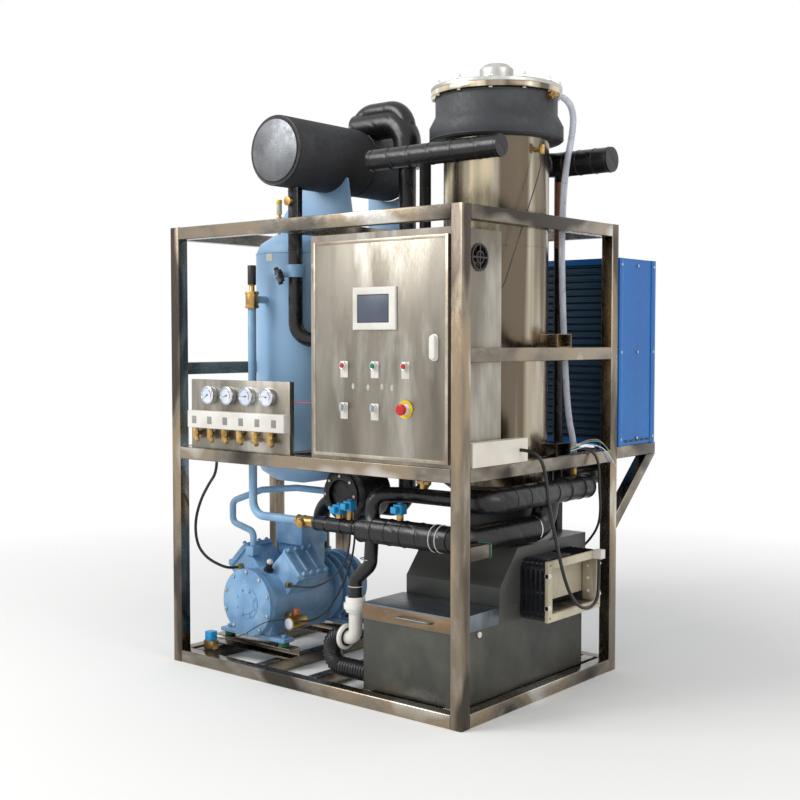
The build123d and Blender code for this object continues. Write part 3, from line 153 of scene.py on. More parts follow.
def work(tree: Tree, operation: str, *values: Value, kind: Kind = Kind.NUMBERS,
         output: int = 0) -> Socket:
    """What one operation makes of its values, at the output of that number."""
    node = tree.nodes.new(kind.value)
    node.operation = operation
    feed(tree, node.inputs, dict(enumerate(values)))
    return node.outputs[output]


def noise(tree: Tree, vector: Socket, scale: Value, detail: float = 5.0,
          rough: float = 0.6) -> Socket:
    """A noise texture on a vector; the scale is a number or a socket."""
    node = tree.nodes.new("ShaderNodeTexNoise")
    feed(tree, node.inputs,
         {"Vector": vector, "Scale": scale, "Detail": detail, "Roughness": rough})
    return node.outputs["Fac"]


def span(tree: Tree, value: Socket, low: float, high: float, to_low: float = 0.0,
         to_high: float = 1.0) -> Socket:
    """A value stretched from one range to another, and kept inside it."""
    node = tree.nodes.new("ShaderNodeMapRange")
    feed(tree, node.inputs, dict(enumerate((value, low, high, to_low, to_high))))
    return node.outputs[0]


def blend_colours(tree: Tree, share: Socket, first: Value, second: Value,
                  blend: str = "MIX") -> Socket:
    """Two colours mixed by a share; each is a socket or a plain colour."""
    node = tree.nodes.new("ShaderNodeMix")
    node.data_type = "RGBA"
    node.blend_type = blend
    feed(tree, node.inputs, {0: share, 6: first, 7: second})
    return node.outputs[2]


def lay(tree: Tree, group: Tree, values: dict[str | int, Value]) -> Sockets:
    """Put a shader group in a tree, feed its inputs and return its outputs."""
    node = tree.nodes.new("ShaderNodeGroup")
    node.node_tree = group
    feed(tree, node.inputs, values)
    return node.outputs


def stain_and_highlight_group() -> Tree:
    """Stains, and pale glints that are painted highlights, drawn out along the grain of a surface.
    """
    tree, given, sink = new_group(
        "Stains and Painted Highlights",
        [("Vector", "Vector"), ("Stretch", "Vector"), ("Scale", "Float"), ("Base", "Color"),
         ("Stain", "Color"), ("Glint", "Color"), ("Stain Share", "Float"),
         ("Glint Share", "Float"), ("Grain Scale", "Float")],
        [("Color", "Color"), ("Grain", "Float")])
    drawn = work(tree, "MULTIPLY", given["Vector"], given["Stretch"], kind=Kind.VECTORS)
    moved = work(tree, "ADD", drawn, (3.1, 7.7, 1.9), kind=Kind.VECTORS)
    broad = noise(tree, drawn, given["Scale"], 3.0, 0.5)
    other = noise(tree, moved, given["Scale"], 4.0, 0.6)
    fine = noise(tree, drawn, given["Grain Scale"], 6.0, 0.7)
    stain = work(tree, "MULTIPLY", span(tree, broad, 0.38, 0.66), given["Stain Share"])
    # the pale glints are painted highlights mixed into the colour
    glint = work(tree, "MULTIPLY", span(tree, other, 0.50, 0.72), given["Glint Share"])
    colour = blend_colours(tree, stain, given["Base"], given["Stain"])
    colour = blend_colours(tree, glint, colour, given["Glint"])
    feed(tree, sink, {"Color": colour, "Grain": fine})
    return tree


def bands_group() -> Tree:
    """Even bands along an axis, bent a little, for tape laps and fins; a finish paints shade into
    each band's lap.
    """
    tree, given, sink = new_group(
        "Bands",
        [("Vector", "Vector"), ("Direction", "Vector"), ("Scale", "Float"), ("Wobble", "Float")],
        [("Mask", "Float")])
    along = work(tree, "DOT_PRODUCT", given["Vector"], given["Direction"], kind=Kind.VECTORS,
                 output=1)
    bend = work(tree, "MULTIPLY", noise(tree, given["Vector"], 9.0, 3.0), given["Wobble"])
    run = work(tree, "ADD", work(tree, "MULTIPLY", along, given["Scale"]), bend)
    feed(tree, sink, {"Mask": work(tree, "PINGPONG", run, 1.0)})
    return tree


def patches_group() -> Tree:
    """Patches of dark, warm and bright light, as polished tube mirrors them."""
    tree, given, sink = new_group(
        "Patches",
        [("Vector", "Vector"), ("Stretch", "Vector"), ("Scale", "Float"), ("Color", "Color"),
         ("Dark", "Color"), ("Warm", "Color"), ("Bright", "Color")],
        [("Color", "Color")])
    drawn = work(tree, "MULTIPLY", given["Vector"], given["Stretch"], kind=Kind.VECTORS)
    field = noise(tree, drawn, given["Scale"], 2.0, 0.45)
    colour = given["Color"]
    for label, ends in (("Warm", (0.50, 0.56)), ("Bright", (0.60, 0.66)),
                        ("Dark", (0.38, 0.45, 1.0, 0.0))):
        colour = blend_colours(tree, span(tree, field, *ends), colour, given[label])
    feed(tree, sink, {"Color": colour})
    return tree


STAIN_AND_HIGHLIGHT = stain_and_highlight_group()
PATCHES = patches_group()
BANDS = bands_group()


class Sheen(Enum):
    """How a surface takes light: metallic share and the low and high end of its roughness."""

    POLISHED = (1.0, 0.16, 0.34)
    BRUSHED = (1.0, 0.28, 0.50)
    CHROME = (1.0, 0.08, 0.2)
    PAINT = (0.0, 0.32, 0.52)
    CAST = (0.0, 0.42, 0.68)
    TAPE = (0.0, 0.22, 0.42)
    FOAM = (0.0, 0.62, 0.9)
    PLASTIC = (0.0, 0.34, 0.5)
    GLOSS = (0.0, 0.12, 0.25)


class Coating:
    """What the finishes share: a material that is built once, under the finish's name."""

    name: str

    def make(self) -> bpy.types.Material:
        """The finish's material."""
        known = bpy.data.materials.get(self.name)
        if known:
            return known
        material, tree, shader, vector = new_material(self.name)
        self.paint(tree, shader, vector)
        return material

    def paint(self, tree: Tree, shader: Sockets, vector: Socket) -> None:
        """Set up the material.

        Args:
            tree: its node tree.
            shader: the inputs of its shader.
            vector: the socket of the object's own coordinates.
        """
        raise NotImplementedError


@dataclass(frozen=True)
class Finish(Coating):
    """One surface finish, with its tones, sheen and the direction its marks are drawn out in."""

    name: str
    base: Shade
    stain: Shade
    # glint and glints give the colour and the share of pale painted highlights
    glint: Shade
    sheen: Sheen
    scale: float = 20.0
    stretch: Point = (1.0, 1.0, 1.0)
    stains: float = 0.6
    glints: float = 0.3
    grain: float = 60.0
    relief: float = 0.1
    coat: float = 0.0
    band_axis: Point = (0.0, 0.0, 0.0)
    band_scale: float = 0.0
    # how much painted shade darkens each band's lap
    band_shade: float = 0.5
    band_wobble: float = 0.0
    patch_scale: float = 0.0
    patch_stretch: Point = (1.0, 1.0, 1.0)
    patch_dark: Shade = (84, 72, 62)
    patch_warm: Shade = (172, 150, 122)
    patch_bright: Shade = (214, 204, 188)

    def paint(self, tree: Tree, shader: Sockets, vector: Socket) -> None:
        """Lay stains and painted highlights, painted reflection patches and banded painted shade;
        set gloss and relief.
        """
        stains_and_highlights = lay(tree, STAIN_AND_HIGHLIGHT, {
            "Vector": vector, "Stretch": self.stretch, "Scale": self.scale,
            "Base": tone(*self.base), "Stain": tone(*self.stain), "Glint": tone(*self.glint),
            "Stain Share": self.stains, "Glint Share": self.glints,
            "Grain Scale": self.grain})
        colour, height = stains_and_highlights["Color"], stains_and_highlights["Grain"]
        metallic, low, high = self.sheen.value
        rough = span(tree, height, 0.3, 0.7, low, high)
        if self.patch_scale:
            colour = lay(tree, PATCHES, {
                "Vector": vector, "Stretch": self.patch_stretch, "Scale": self.patch_scale,
                "Color": colour, "Dark": tone(*self.patch_dark),
                "Warm": tone(*self.patch_warm), "Bright": tone(*self.patch_bright)})["Color"]
        if self.band_scale:
            mask = lay(tree, BANDS, {
                "Vector": vector, "Direction": self.band_axis, "Scale": self.band_scale,
                "Wobble": self.band_wobble})["Mask"]
            # painted shade: each band's lap is darkened, in the gaps between fins and at the step
            # of each tape lap
            lap_shade = span(tree, mask, *LAP, self.band_shade, 0.0)
            colour = blend_colours(tree, lap_shade, colour, (0.12, 0.12, 0.12, 1.0), "MULTIPLY")
            height = work(tree, "ADD", work(tree, "MULTIPLY", height, 0.25),
                          span(tree, mask, *LAP))
        bump = tree.nodes.new("ShaderNodeBump")
        feed(tree, bump.inputs,
             {"Strength": self.relief, "Distance": RELIEF_DEPTH, "Height": height})
        feed(tree, shader, {
            "Base Color": colour, "Metallic": metallic, "Roughness": rough,
            "Coat Weight": self.coat, "Normal": bump.outputs["Normal"]})


STEEL_RAIL = Finish("rail steel", (138, 130, 118), (104, 96, 86), (180, 174, 164), Sheen.POLISHED,
    scale=9.0, stretch=(1.0, 1.0, 2.0), glints=0.5, grain=40.0, relief=0.004, patch_scale=1.7,
    patch_stretch=(1.4, 1.4, 2.4), patch_dark=(74, 69, 64), patch_warm=(156, 142, 122),
    patch_bright=(208, 204, 196))
STEEL_POST = Finish("post steel", (142, 130, 114), (104, 94, 82), (186, 176, 160), Sheen.POLISHED,
    scale=9.0, stretch=(2.0, 2.0, 0.5), glints=0.5, grain=40.0, relief=0.004, patch_scale=1.6,
    patch_stretch=(4.0, 4.0, 1.1), patch_dark=(82, 74, 67), patch_warm=(160, 142, 118),
    patch_bright=(206, 200, 188))
SHELL = Finish("tower steel", (184, 174, 154), (104, 94, 80), (240, 236, 224), Sheen.POLISHED,
    scale=5.0, stretch=(1.6, 1.6, 0.10), stains=0.7, glints=0.75, grain=24.0, relief=0.006,
    patch_scale=3.2, patch_stretch=(2.6, 2.6, 0.08), patch_dark=(112, 101, 86),
    patch_warm=(220, 204, 170), patch_bright=(250, 248, 240))
COVER_STEEL = Finish("cover steel", (196, 196, 190), (140, 138, 132), (236, 236, 232),
    Sheen.BRUSHED, scale=8.0, glints=0.5, relief=0.006)
LID_STEEL = Finish("tank lid steel", (118, 128, 136), (84, 80, 76), (156, 166, 172), Sheen.BRUSHED,
    scale=5.0, stretch=(1.0, 3.0, 1.0), stains=0.5, glints=0.4, grain=70.0, relief=0.05)
CABINET = Finish("cabinet steel", (150, 144, 133), (102, 96, 86), (214, 211, 202), Sheen.BRUSHED,
    scale=3.4, stretch=(2.2, 2.2, 0.5), stains=0.75, glints=0.55, grain=120.0, relief=0.02)
TANK_GREY = Finish("tank grey", (68, 68, 62), (40, 40, 36), (100, 100, 90), Sheen.PAINT, scale=5.0,
    stretch=(1.0, 1.0, 0.7), stains=0.8, glints=0.45, grain=80.0, relief=0.04)
HOUSING_GREY = Finish("housing grey", (66, 68, 64), (40, 42, 40), (92, 94, 88), Sheen.PAINT,
    scale=3.0, stretch=(1.0, 1.0, 0.8), grain=80.0, relief=0.06)
CAST_BLUE = Finish("casting blue", (132, 176, 214), (76, 118, 162), (190, 218, 240), Sheen.PAINT,
    scale=9.0, glints=0.4, grain=140.0, relief=0.35)
VESSEL_BLUE = Finish("vessel blue", (150, 190, 224), (122, 162, 200), (190, 216, 238), Sheen.PAINT,
    scale=2.4, stretch=(1.0, 1.0, 0.5), stains=0.5, glints=0.4, grain=90.0, relief=0.08)
PIPE_BLUE = Finish("pipe blue", (140, 182, 216), (98, 138, 176), (184, 212, 234), Sheen.PAINT,
    scale=8.0, stains=0.5, glints=0.4, grain=90.0)
CASING_BLUE = Finish("casing blue", (0, 104, 184), (0, 80, 152), (8, 128, 206), Sheen.PAINT,
    scale=1.6, stretch=(1.0, 1.0, 0.5), glints=0.4, grain=90.0, relief=0.04)
# the coil's fins and the tape's laps get painted shade from their bands
COIL = Finish("coil fins", (10, 62, 92), (4, 34, 56), (18, 92, 128), Sheen.PAINT, scale=3.0,
    relief=0.6, band_axis=(1.0, 0.0, 0.0), band_scale=420.0, band_shade=0.75)
TAPE = Finish("taped insulation", (15, 15, 17), (8, 8, 9), (38, 38, 42), Sheen.TAPE, scale=7.0,
    grain=45.0, relief=0.5, band_axis=(0.62, 0.58, 0.53), band_scale=30.0, band_shade=0.35,
    band_wobble=1.2)
JACKET = Finish("jacket", (48, 49, 52), (30, 31, 34), (76, 77, 80), Sheen.FOAM, scale=4.0,
    glints=0.35, relief=0.3)
NECK_FOAM = Finish("neck foam", (54, 56, 60), (34, 36, 39), (92, 94, 98), Sheen.CAST, scale=4.0,
    glints=0.4, relief=0.3)
DUCT_FOAM = Finish("duct foam", (30, 31, 36), (18, 19, 23), (56, 58, 66), Sheen.TAPE, scale=5.0,
    grain=50.0, relief=0.3)
GLUE = Finish("dried glue", (196, 192, 184), (160, 156, 148), (220, 218, 212), Sheen.FOAM,
    scale=60.0)
RUBBER = Finish("cable rubber", (26, 26, 28), (16, 16, 18), (54, 54, 58), Sheen.TAPE, stains=0.5,
    grain=300.0)
RIBBED = Finish("ribbed rubber", (28, 28, 30), (14, 14, 16), (60, 60, 64), Sheen.TAPE, scale=12.0,
    stains=0.5, grain=120.0, relief=0.3)
WIRE_BLACK = Finish("black wire", (30, 30, 33), (18, 18, 20), (62, 62, 66), Sheen.PAINT, scale=8.0,
    stains=0.5, grain=120.0)
BOLT = Finish("bolt zinc", (206, 204, 196), (130, 124, 112), (240, 240, 236), Sheen.BRUSHED,
    scale=40.0, stains=0.5, glints=0.4, grain=200.0)
CHROME = Finish("bright ring", (214, 220, 226), (140, 148, 158), (250, 252, 255), Sheen.CHROME,
    stains=0.5, glints=0.4, grain=200.0, relief=0.02)
BRASS_DULL = Finish("dull brass", (196, 160, 98), (112, 84, 48), (238, 214, 160), Sheen.BRUSHED,
    scale=26.0, glints=0.4, grain=200.0, relief=0.12)
COIL_CYAN = Finish("coil cyan", (36, 158, 216), (22, 118, 176), (92, 196, 236), Sheen.PLASTIC,
    scale=16.0, stains=0.5, grain=160.0, relief=0.08)
CREAM = Finish("outlet cream", (206, 196, 172), (160, 146, 120), (234, 228, 212), Sheen.PLASTIC,
    scale=7.0, glints=0.4, grain=90.0, relief=0.15)
TRUNK_WHITE = Finish("trunking white", (232, 226, 214), (200, 190, 172), (246, 244, 238),
    Sheen.PLASTIC, scale=5.0, stains=0.5, grain=90.0, relief=0.06)
PVC = Finish("white fitting", (236, 234, 228), (196, 190, 180), (250, 250, 248), Sheen.GLOSS,
    scale=12.0, stains=0.5, grain=90.0, relief=0.08)
STRIP_WHITE = Finish("strip white", (230, 228, 220), (190, 184, 172), (248, 247, 244),
    Sheen.PLASTIC, scale=8.0, stains=0.5, grain=90.0, relief=0.08)
PALE = Finish("knob pale", (184, 196, 194), (146, 158, 158), (222, 230, 228), Sheen.PLASTIC,
    scale=30.0, stains=0.5, grain=200.0, relief=0.06)
RED = Finish("signal red", (206, 36, 34), (150, 20, 22), (236, 86, 78), Sheen.GLOSS, scale=30.0,
    stains=0.4, grain=200.0, relief=0.04)
GREEN = Finish("signal green", (20, 132, 92), (12, 92, 64), (70, 176, 138), Sheen.GLOSS,
    scale=30.0, stains=0.4, grain=200.0, relief=0.04)
YELLOW = Finish("signal yellow", (240, 206, 30), (206, 166, 20), (250, 228, 100), Sheen.PLASTIC,
    stains=0.4, grain=200.0, relief=0.05)
PAD_GREEN = Finish("pad green", (44, 120, 88), (24, 78, 56), (86, 158, 126), Sheen.FOAM,
    grain=160.0, relief=0.2)
DARK = Finish("dark plastic", (34, 34, 37), (20, 20, 22), (66, 66, 70), Sheen.PLASTIC, stains=0.5,
    grain=160.0, relief=0.08)
FAN_RED = Finish("fan blades", (96, 44, 40), (54, 26, 26), (140, 70, 62), Sheen.PLASTIC,
    stains=0.5, grain=160.0, relief=0.06)
SCREEN_GREY = Finish("screen glass", (74, 84, 100), (58, 68, 86), (104, 112, 124), Sheen.PLASTIC,
    scale=4.0, stains=0.5, glints=0.4, relief=0.0)
DIAL = Finish("dial face", (226, 232, 240), (190, 204, 224), (246, 248, 252), Sheen.GLOSS,
    scale=14.0, glints=0.4, relief=0.0, coat=0.6)
WET_FLOOR = Finish("wet chute floor", (74, 68, 60), (40, 36, 32), (168, 160, 146), Sheen.TAPE,
    scale=30.0, stains=0.8, glints=0.6, grain=160.0, relief=0.5)
WIRE_WHITE = Finish("wire white", (226, 228, 230), (190, 192, 196), (246, 246, 248), Sheen.PLASTIC,
    scale=40.0)
WIRE_BLUE = Finish("wire blue", (60, 130, 206), (34, 96, 164), (110, 168, 228), Sheen.PLASTIC,
    scale=40.0)
WIRE_GREEN = Finish("wire green", (96, 186, 140), (58, 140, 100), (150, 214, 180), Sheen.PLASTIC,
    scale=40.0)
WIRE_ORANGE = Finish("wire orange", (206, 128, 84), (160, 90, 56), (230, 168, 130), Sheen.PLASTIC,
    scale=40.0)
OLD_TAPE = Finish("red brown strip", (120, 70, 52), (84, 46, 36), (160, 104, 80), Sheen.PLASTIC,
    scale=10.0)
DISC_FOIL = Finish("disc foil", (120, 122, 124), (84, 86, 90), (170, 172, 174), Sheen.BRUSHED,
    scale=9.0, stains=0.7, glints=0.4, relief=0.3)
PLUG_ORANGE = Finish("plug orange", (214, 120, 60), (170, 84, 40), (236, 160, 110), Sheen.PLASTIC,
    scale=4.0)
# a paler, more glinting copy of the cabinet steel: a painted highlight along the door's edges
DOOR_EDGE_HIGHLIGHT = Finish("door edge painted highlight", (182, 172, 156), (122, 108, 94), (232, 226, 212),
    Sheen.BRUSHED, scale=6.0, stains=0.7, glints=0.6, grain=90.0, relief=0.04)
STRIP_GREY = Finish("strip grey", (150, 150, 146), (112, 112, 108), (190, 190, 186), Sheen.PLASTIC,
    scale=4.0)
# the lid's skirt face: the lid's own steel in a warm tan, a painted reflection beside the bluish
# top
LID_FRONT_REFLECTION = Finish("lid front painted reflection", (138, 116, 92), (98, 80, 64), (186, 170, 146), Sheen.BRUSHED,
    scale=4.0, stretch=(1.0, 1.0, 3.0), glints=0.5, grain=90.0, relief=0.04)


@dataclass(frozen=True)
class ClearFinish(Coating):
    """The milky walls of the water hose."""

    name: str = "milky hose"
    wall: Shade = (196, 202, 218)
    cloud: Shade = (226, 228, 236)

    def paint(self, tree: Tree, shader: Sockets, vector: Socket) -> None:
        """Cloud the walls, and let about half of the light through."""
        cloud = noise(tree, vector, 14.0)
        colour = blend_colours(tree, span(tree, cloud, 0.35, 0.65), tone(*self.wall),
                               tone(*self.cloud))
        feed(tree, shader, {
            "Base Color": colour, "Roughness": span(tree, cloud, 0.3, 0.7, 0.2, 0.42),
            "Transmission Weight": 0.45, "IOR": 1.3, "Coat Weight": 0.4})


# Shapes


class Shape:
    """A mesh that is put together from solids; what adds a solid returns the shape itself.

    Places are in millimetres from the frame's front left foot, and sizes are in metres.
    """

    def __init__(self) -> None:
        """Start with nothing in the mesh."""
        self.mesh = bmesh.new()

    def bevel(self, edges: list, width: float, steps: int = 2) -> list:
        """Round some edges, and return the faces that this makes."""
        return bmesh.ops.bevel(self.mesh, geom=edges, offset=width, offset_type="OFFSET",
                               segments=steps, profile=0.5, affect="EDGES",
                               clamp_overlap=True, material=-1)["faces"]

    def ease(self, verts: Sequence, width: float, bend: float = MADE_EDGE) -> None:
        """Round the edges among some vertices.

        Args:
            verts: the vertices.
            width: how far the rounding reaches; nothing is rounded at 0.
            bend: the angle in radians that an edge has to bend by.
        """
        if width <= 0:
            return
        chosen = set(verts)
        self.bevel([edge for edge in self.mesh.edges
                    if edge.verts[0] in chosen and edge.verts[1] in chosen
                    and len(edge.link_faces) == 2 and edge.calc_face_angle(0.0) > bend], width)

    def box(self, low: Point, high: Point) -> list:
        """Add a box between two corners, and return its vertices."""
        lo, hi = Vector(at(*low)), Vector(at(*high))
        place = Matrix.Translation((lo + hi) / 2) @ Matrix.Diagonal((*(hi - lo), 1.0))
        return bmesh.ops.create_cube(self.mesh, size=1.0, matrix=place)["verts"]

    def blocks(self, ease: float, *corners: tuple[float, ...]) -> "Shape":
        """Add blocks that are rounded alike, each by its two corners as six numbers."""
        for pair in corners:
            self.ease(self.box(pair[:3], pair[3:]), ease)
        return self

    def bar(self, start: Point, end: Point, radius: float, sides: int = 28, ease: float = 0.0,
            tip: float | None = None) -> "Shape":
        """Add a round or many sided bar.

        Args:
            start: the middle of its first end.
            end: the middle of its other end.
            radius: its radius at the start.
            sides: how many sides it has.
            ease: how far its rims are rounded.
            tip: its radius at the end, where that differs.

        Returns:
            This shape.
        """
        first, last = Vector(at(*start)), Vector(at(*end))
        run = last - first
        turn = run.to_track_quat("Z", "Y").to_matrix().to_4x4()
        place = Matrix.Translation((first + last) / 2) @ turn
        verts = bmesh.ops.create_cone(self.mesh, cap_ends=True, segments=sides, radius1=radius,
                                      radius2=radius if tip is None else tip,
                                      depth=run.length, matrix=place)["verts"]
        self.ease(verts, ease)
        return self

    def spin(self, centre: Point, axis: Axis | Point, radius: float, corner: float,
             corners: int, steps: int, stretch: Matrix) -> "Shape":
        """Turn a profile round an axis.

        Args:
            centre: the middle of the turn.
            axis: what it is turned about.
            radius: how far out the profile's middle lies.
            corner: how far the profile's corners lie from its middle.
            corners: how many it has.
            steps: how many flats the turn has.
            stretch: what the profile is stretched by first.

        Returns:
            This shape.
        """
        middle = at(*centre)
        normal = direction(axis)
        out = normal.orthogonal().normalized()
        turn = Matrix((out, normal, normal.cross(out))).transposed().to_4x4()
        place = Matrix.Translation(Vector(middle) + out * radius) @ turn @ stretch
        verts = bmesh.ops.create_circle(self.mesh, cap_ends=False, segments=corners,
                                        radius=corner, matrix=place)["verts"]
        edges = list({edge for vert in verts for edge in vert.link_edges})
        bmesh.ops.spin(self.mesh, geom=verts + edges, cent=middle, axis=normal,
                       angle=math.tau, steps=steps, use_merge=True)
        return self

    def ring(self, centre: Point, axis: Axis | Point, radius: float, wire: float,
             steps: int = 40, sides: int = 10) -> "Shape":
        """Add a ring of round wire about an axis."""
        return self.spin(centre, axis, radius, wire, sides, steps, Matrix.Identity(4))

    def rings(self, spot: Point, axis: Axis, places: Iterable[float], radius: float,
              wire: float, steps: int = 36, sides: int = 6) -> "Shape":
        """Add a row of rings round a line.

        Args:
            spot: a point on the line; its place along the axis is free.
            axis: the way that the line runs.
            places: where on the axis each ring lies.
            radius: the rings' radius.
            wire: the radius of their wire.
            steps: how many flats a ring has.
            sides: how many sides its wire has.

        Returns:
            This shape.
        """
        for place in places:
            centre = tuple(place if way else held for way, held in zip(axis.value, spot))
            self.ring(centre, axis, radius, wire, steps, sides)
        return self

    def washer(self, centre: Point, axis: Axis | Point, inner: float, outer: float,
               thick: float) -> "Shape":
        """Add a flat ring about an axis, with a hole of the inner radius."""
        square = (Matrix.Diagonal((outer - inner, thick, 1.0, 1.0))
                  @ Matrix.Rotation(math.radians(45), 4, "Z"))
        return self.spin(centre, axis, (inner + outer) / 2, math.sqrt(0.5), 4, 56, square)

    def sleeve(self, low: Point, high: Point, wall: float, ease: float) -> "Shape":
        """Add a rounded square sleeve that is open at both its X ends."""
        faces = {face for vert in self.box(low, high) for face in vert.link_faces}
        ends = {face for face in faces if abs(face.normal.x) > 0.9}
        along = {edge for face in faces - ends for edge in face.edges
                 if abs((edge.verts[0].co - edge.verts[1].co).x) > MERGE}
        bmesh.ops.delete(self.mesh, geom=list(ends), context="FACES_ONLY")
        skin = (faces - ends) | set(self.bevel(list(along), ease, 6))
        skin = [face for face in skin if face.is_valid]
        bmesh.ops.recalc_face_normals(self.mesh, faces=skin)
        bmesh.ops.solidify(self.mesh, geom=skin, thickness=wall)
        return self

    def tube(self, points: Sequence[Point], radius: float, bend: float, sides: int = 24,
             steps: int = 8) -> "Shape":
        """Add a rigid pipe of straight runs, with a turned bend at each corner.

        Args:
            points: its ends and corners.
            radius: its radius.
            bend: the centre line radius of its bends.
            sides: how many sides it has.
            steps: how many steps each bend has.

        Returns:
            This shape.
        """
        knots = [Vector(at(*point)) for point in points]
        here = knots[0]
        run = (knots[1] - knots[0]).normalized()
        place = Matrix.Translation(here) @ run.to_track_quat("Z", "Y").to_matrix().to_4x4()
        ring = bmesh.ops.create_circle(self.mesh, cap_ends=True, segments=sides, radius=radius,
                                       matrix=place)["verts"]
        edges = list({edge for vert in ring for edge in vert.link_edges})
        for corner, after in zip(knots[1:-1], knots[2:]):
            turn = (after - corner).normalized()
            angle = run.angle(turn)
            back = bend * math.tan(angle / 2)
            edges = self.push(edges, corner - run * back - here)
            axis = run.cross(turn).normalized()
            centre = corner - run * back + axis.cross(run) * bend
            verts = list({vert for edge in edges for vert in edge.verts})
            spun = bmesh.ops.spin(self.mesh, geom=verts + edges, cent=centre, axis=axis,
                                  angle=angle, steps=steps, use_merge=False,
                                  use_duplicate=False)
            edges = [item for item in spun["geom_last"]
                     if isinstance(item, bmesh.types.BMEdge)]
            here = corner + turn * back
            run = turn
        edges = self.push(edges, knots[-1] - here)
        bmesh.ops.contextual_create(self.mesh, geom=edges)
        return self

    def push(self, edges: list, step: Vector) -> list:
        """Draw a ring of edges out along a step, and return the new ring."""
        made = bmesh.ops.extrude_edge_only(self.mesh, edges=edges)["geom"]
        verts = [item for item in made if isinstance(item, bmesh.types.BMVert)]
        bmesh.ops.translate(self.mesh, verts=verts, vec=step)
        return [item for item in made if isinstance(item, bmesh.types.BMEdge)
                and item.verts[0] in verts and item.verts[1] in verts]

    def pebble(self, centre: Point, half: Point) -> "Shape":
        """Add a smooth flattened blob."""
        place = Matrix.Translation(at(*centre)) @ Matrix.Diagonal((*half, 1.0))
        bmesh.ops.create_icosphere(self.mesh, subdivisions=3, radius=1.0, matrix=place)
        return self

    def finish(self, name: str, finish: Coating, slot: str, body: str = "machine",
               replaces: Sequence[str] = ()) -> bpy.types.Object:
        """Turn the mesh into a piece that rides on a body.

        Args:
            name: the piece's name.
            finish: the finish it is dressed in.
            slot: the record's material slot; not used.
            body: the body it moves with.
            replaces: the part's nodes that it stands for.

        Returns:
            The new object.
        """
        bmesh.ops.remove_doubles(self.mesh, verts=self.mesh.verts, dist=MERGE)
        bmesh.ops.recalc_face_normals(self.mesh, faces=self.mesh.faces)
        data = bpy.data.meshes.new(name)
        self.mesh.to_mesh(data)
        self.mesh.free()
        data.shade_smooth()
        data.set_sharp_from_angle(angle=SMOOTH)
        data.materials.append(finish.make())
        piece = link(name, data)
        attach(piece, body)
        if replaces:
            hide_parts(*replaces)
        log.info("%s: %d faces", name, len(data.polygons))
        return piece


@dataclass(frozen=True)
class Look:
    """What one of the part's own nodes wears, and whether a smoothed copy stands in for it."""

    node: str
    finish: Finish
    slot: str = ""
    ease: float = 0.0
    body: str = "machine"

    def apply(self) -> None:
        """Recolour the node, or stand its smoothed copy in its place where it has a slot."""
        if self.slot:
            self.refine()
            return
        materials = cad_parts[self.node].data.materials
        materials.clear()
        materials.append(self.finish.make())

    def refine(self) -> None:
        """Stand a copy of the node with rounded edges in the node's place."""
        shape = Shape()
        mesh = shape.mesh
        mesh.from_mesh(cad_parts[self.node].data)
        bmesh.ops.remove_doubles(mesh, verts=mesh.verts, dist=CAD_MERGE)
        bmesh.ops.dissolve_limit(mesh, angle_limit=CAD_FLAT, verts=mesh.verts, edges=mesh.edges)
        shape.ease(mesh.verts, self.ease, CAD_EDGE)
        shape.finish(f"{self.node}_finished", self.finish, self.slot, self.body, (self.node,))


class Assembly:
    """A sub-assembly: what its nodes wear, and the pieces that are added to it."""

    looks: ClassVar[tuple[Look, ...]] = ()

    def dress(self) -> None:
        """Give the part's own nodes their looks."""
        for look in self.looks:
            look.apply()

    def build(self) -> None:
        """Add the pieces that the part's own nodes don't have."""


# Sub-assemblies


@dataclass
class OpenFrame(Assembly):
    """The welded frame of square tube with its bearers and bracket."""

    looks: ClassVar[tuple[Look, ...]] = (
        Look("posts", STEEL_POST, "stainless", 0.0032),
        Look("top_rails", STEEL_RAIL, "stainless", 0.0028),
        Look("mid_rails", STEEL_RAIL, "stainless", 0.0028),
        Look("side_rails", STEEL_RAIL, "stainless", 0.0028),
        Look("base_rails", STEEL_RAIL, "stainless", 0.0028),
        Look("condenser_bracket", STEEL_RAIL, "stainless", 0.0028),
    )

    def build(self) -> None:
        """Add the tie on the stub rail and the caps' weld beads."""
        Shape().ring((1475, 168, 603), Axis.Y, 0.0368, 0.0022, 4, 8).finish(
            "stub_tie", PAD_GREEN, "green_rubber")
        beads = Shape()
        for x in (50, 1450):
            for z in (850, 900, 1750, 1800):
                for start, end in ((3, 10), (1047, 1044)):
                    beads.bar((x, start, z), (x, end, z), 0.0018, 10)
        beads.finish("weld_beads", STEEL_RAIL, "stainless")


@dataclass
class Tower(Assembly):
    """The evaporator with its jacket, lid and hopper."""

    x: float = 1215
    y: float = 600
    flange: float = 252

    looks: ClassVar[tuple[Look, ...]] = (
        Look("evaporator_shell", SHELL, "shell_steel", 0.0008),
        Look("evaporator_lid", COVER_STEEL, "shell_steel", 0.001),
        Look("evaporator_insulation", NECK_FOAM, "black_foam", 0.003),
        Look("tube_bundle", STEEL_RAIL),
        Look("bolts", BOLT, "zinc_bolts", 0.0008),
    )

    def build(self) -> None:
        """Add the studs and nuts under the lid, and the seams of the shell and the neck."""
        lugs = Shape()
        for x, y in around(self.x, self.y, self.flange - 12, 12):
            lugs.bar((x, y, 2311), (x, y, 2322), 0.0055, 16, 0.0008)
            lugs.bar((x, y, 2262), (x, y, 2268), 0.009, 6, 0.0008)
        lugs.finish("lid_studs", BOLT, "zinc_bolts")
        Shape().rings((self.x, self.y, 0), Axis.Z, (1285, 1690), 0.2035, 0.0012, 72).finish(
            "shell_seams", SHELL, "shell_steel")
        band = Shape()
        band.ring((self.x, self.y, 2104), Axis.Z, 0.2555, 0.003, 72, 8)
        band.ring((self.x, self.y, 2262), Axis.Z, 0.2355, 0.0025, 72, 8)
        band.finish("neck_seams", NECK_FOAM, "black_foam")


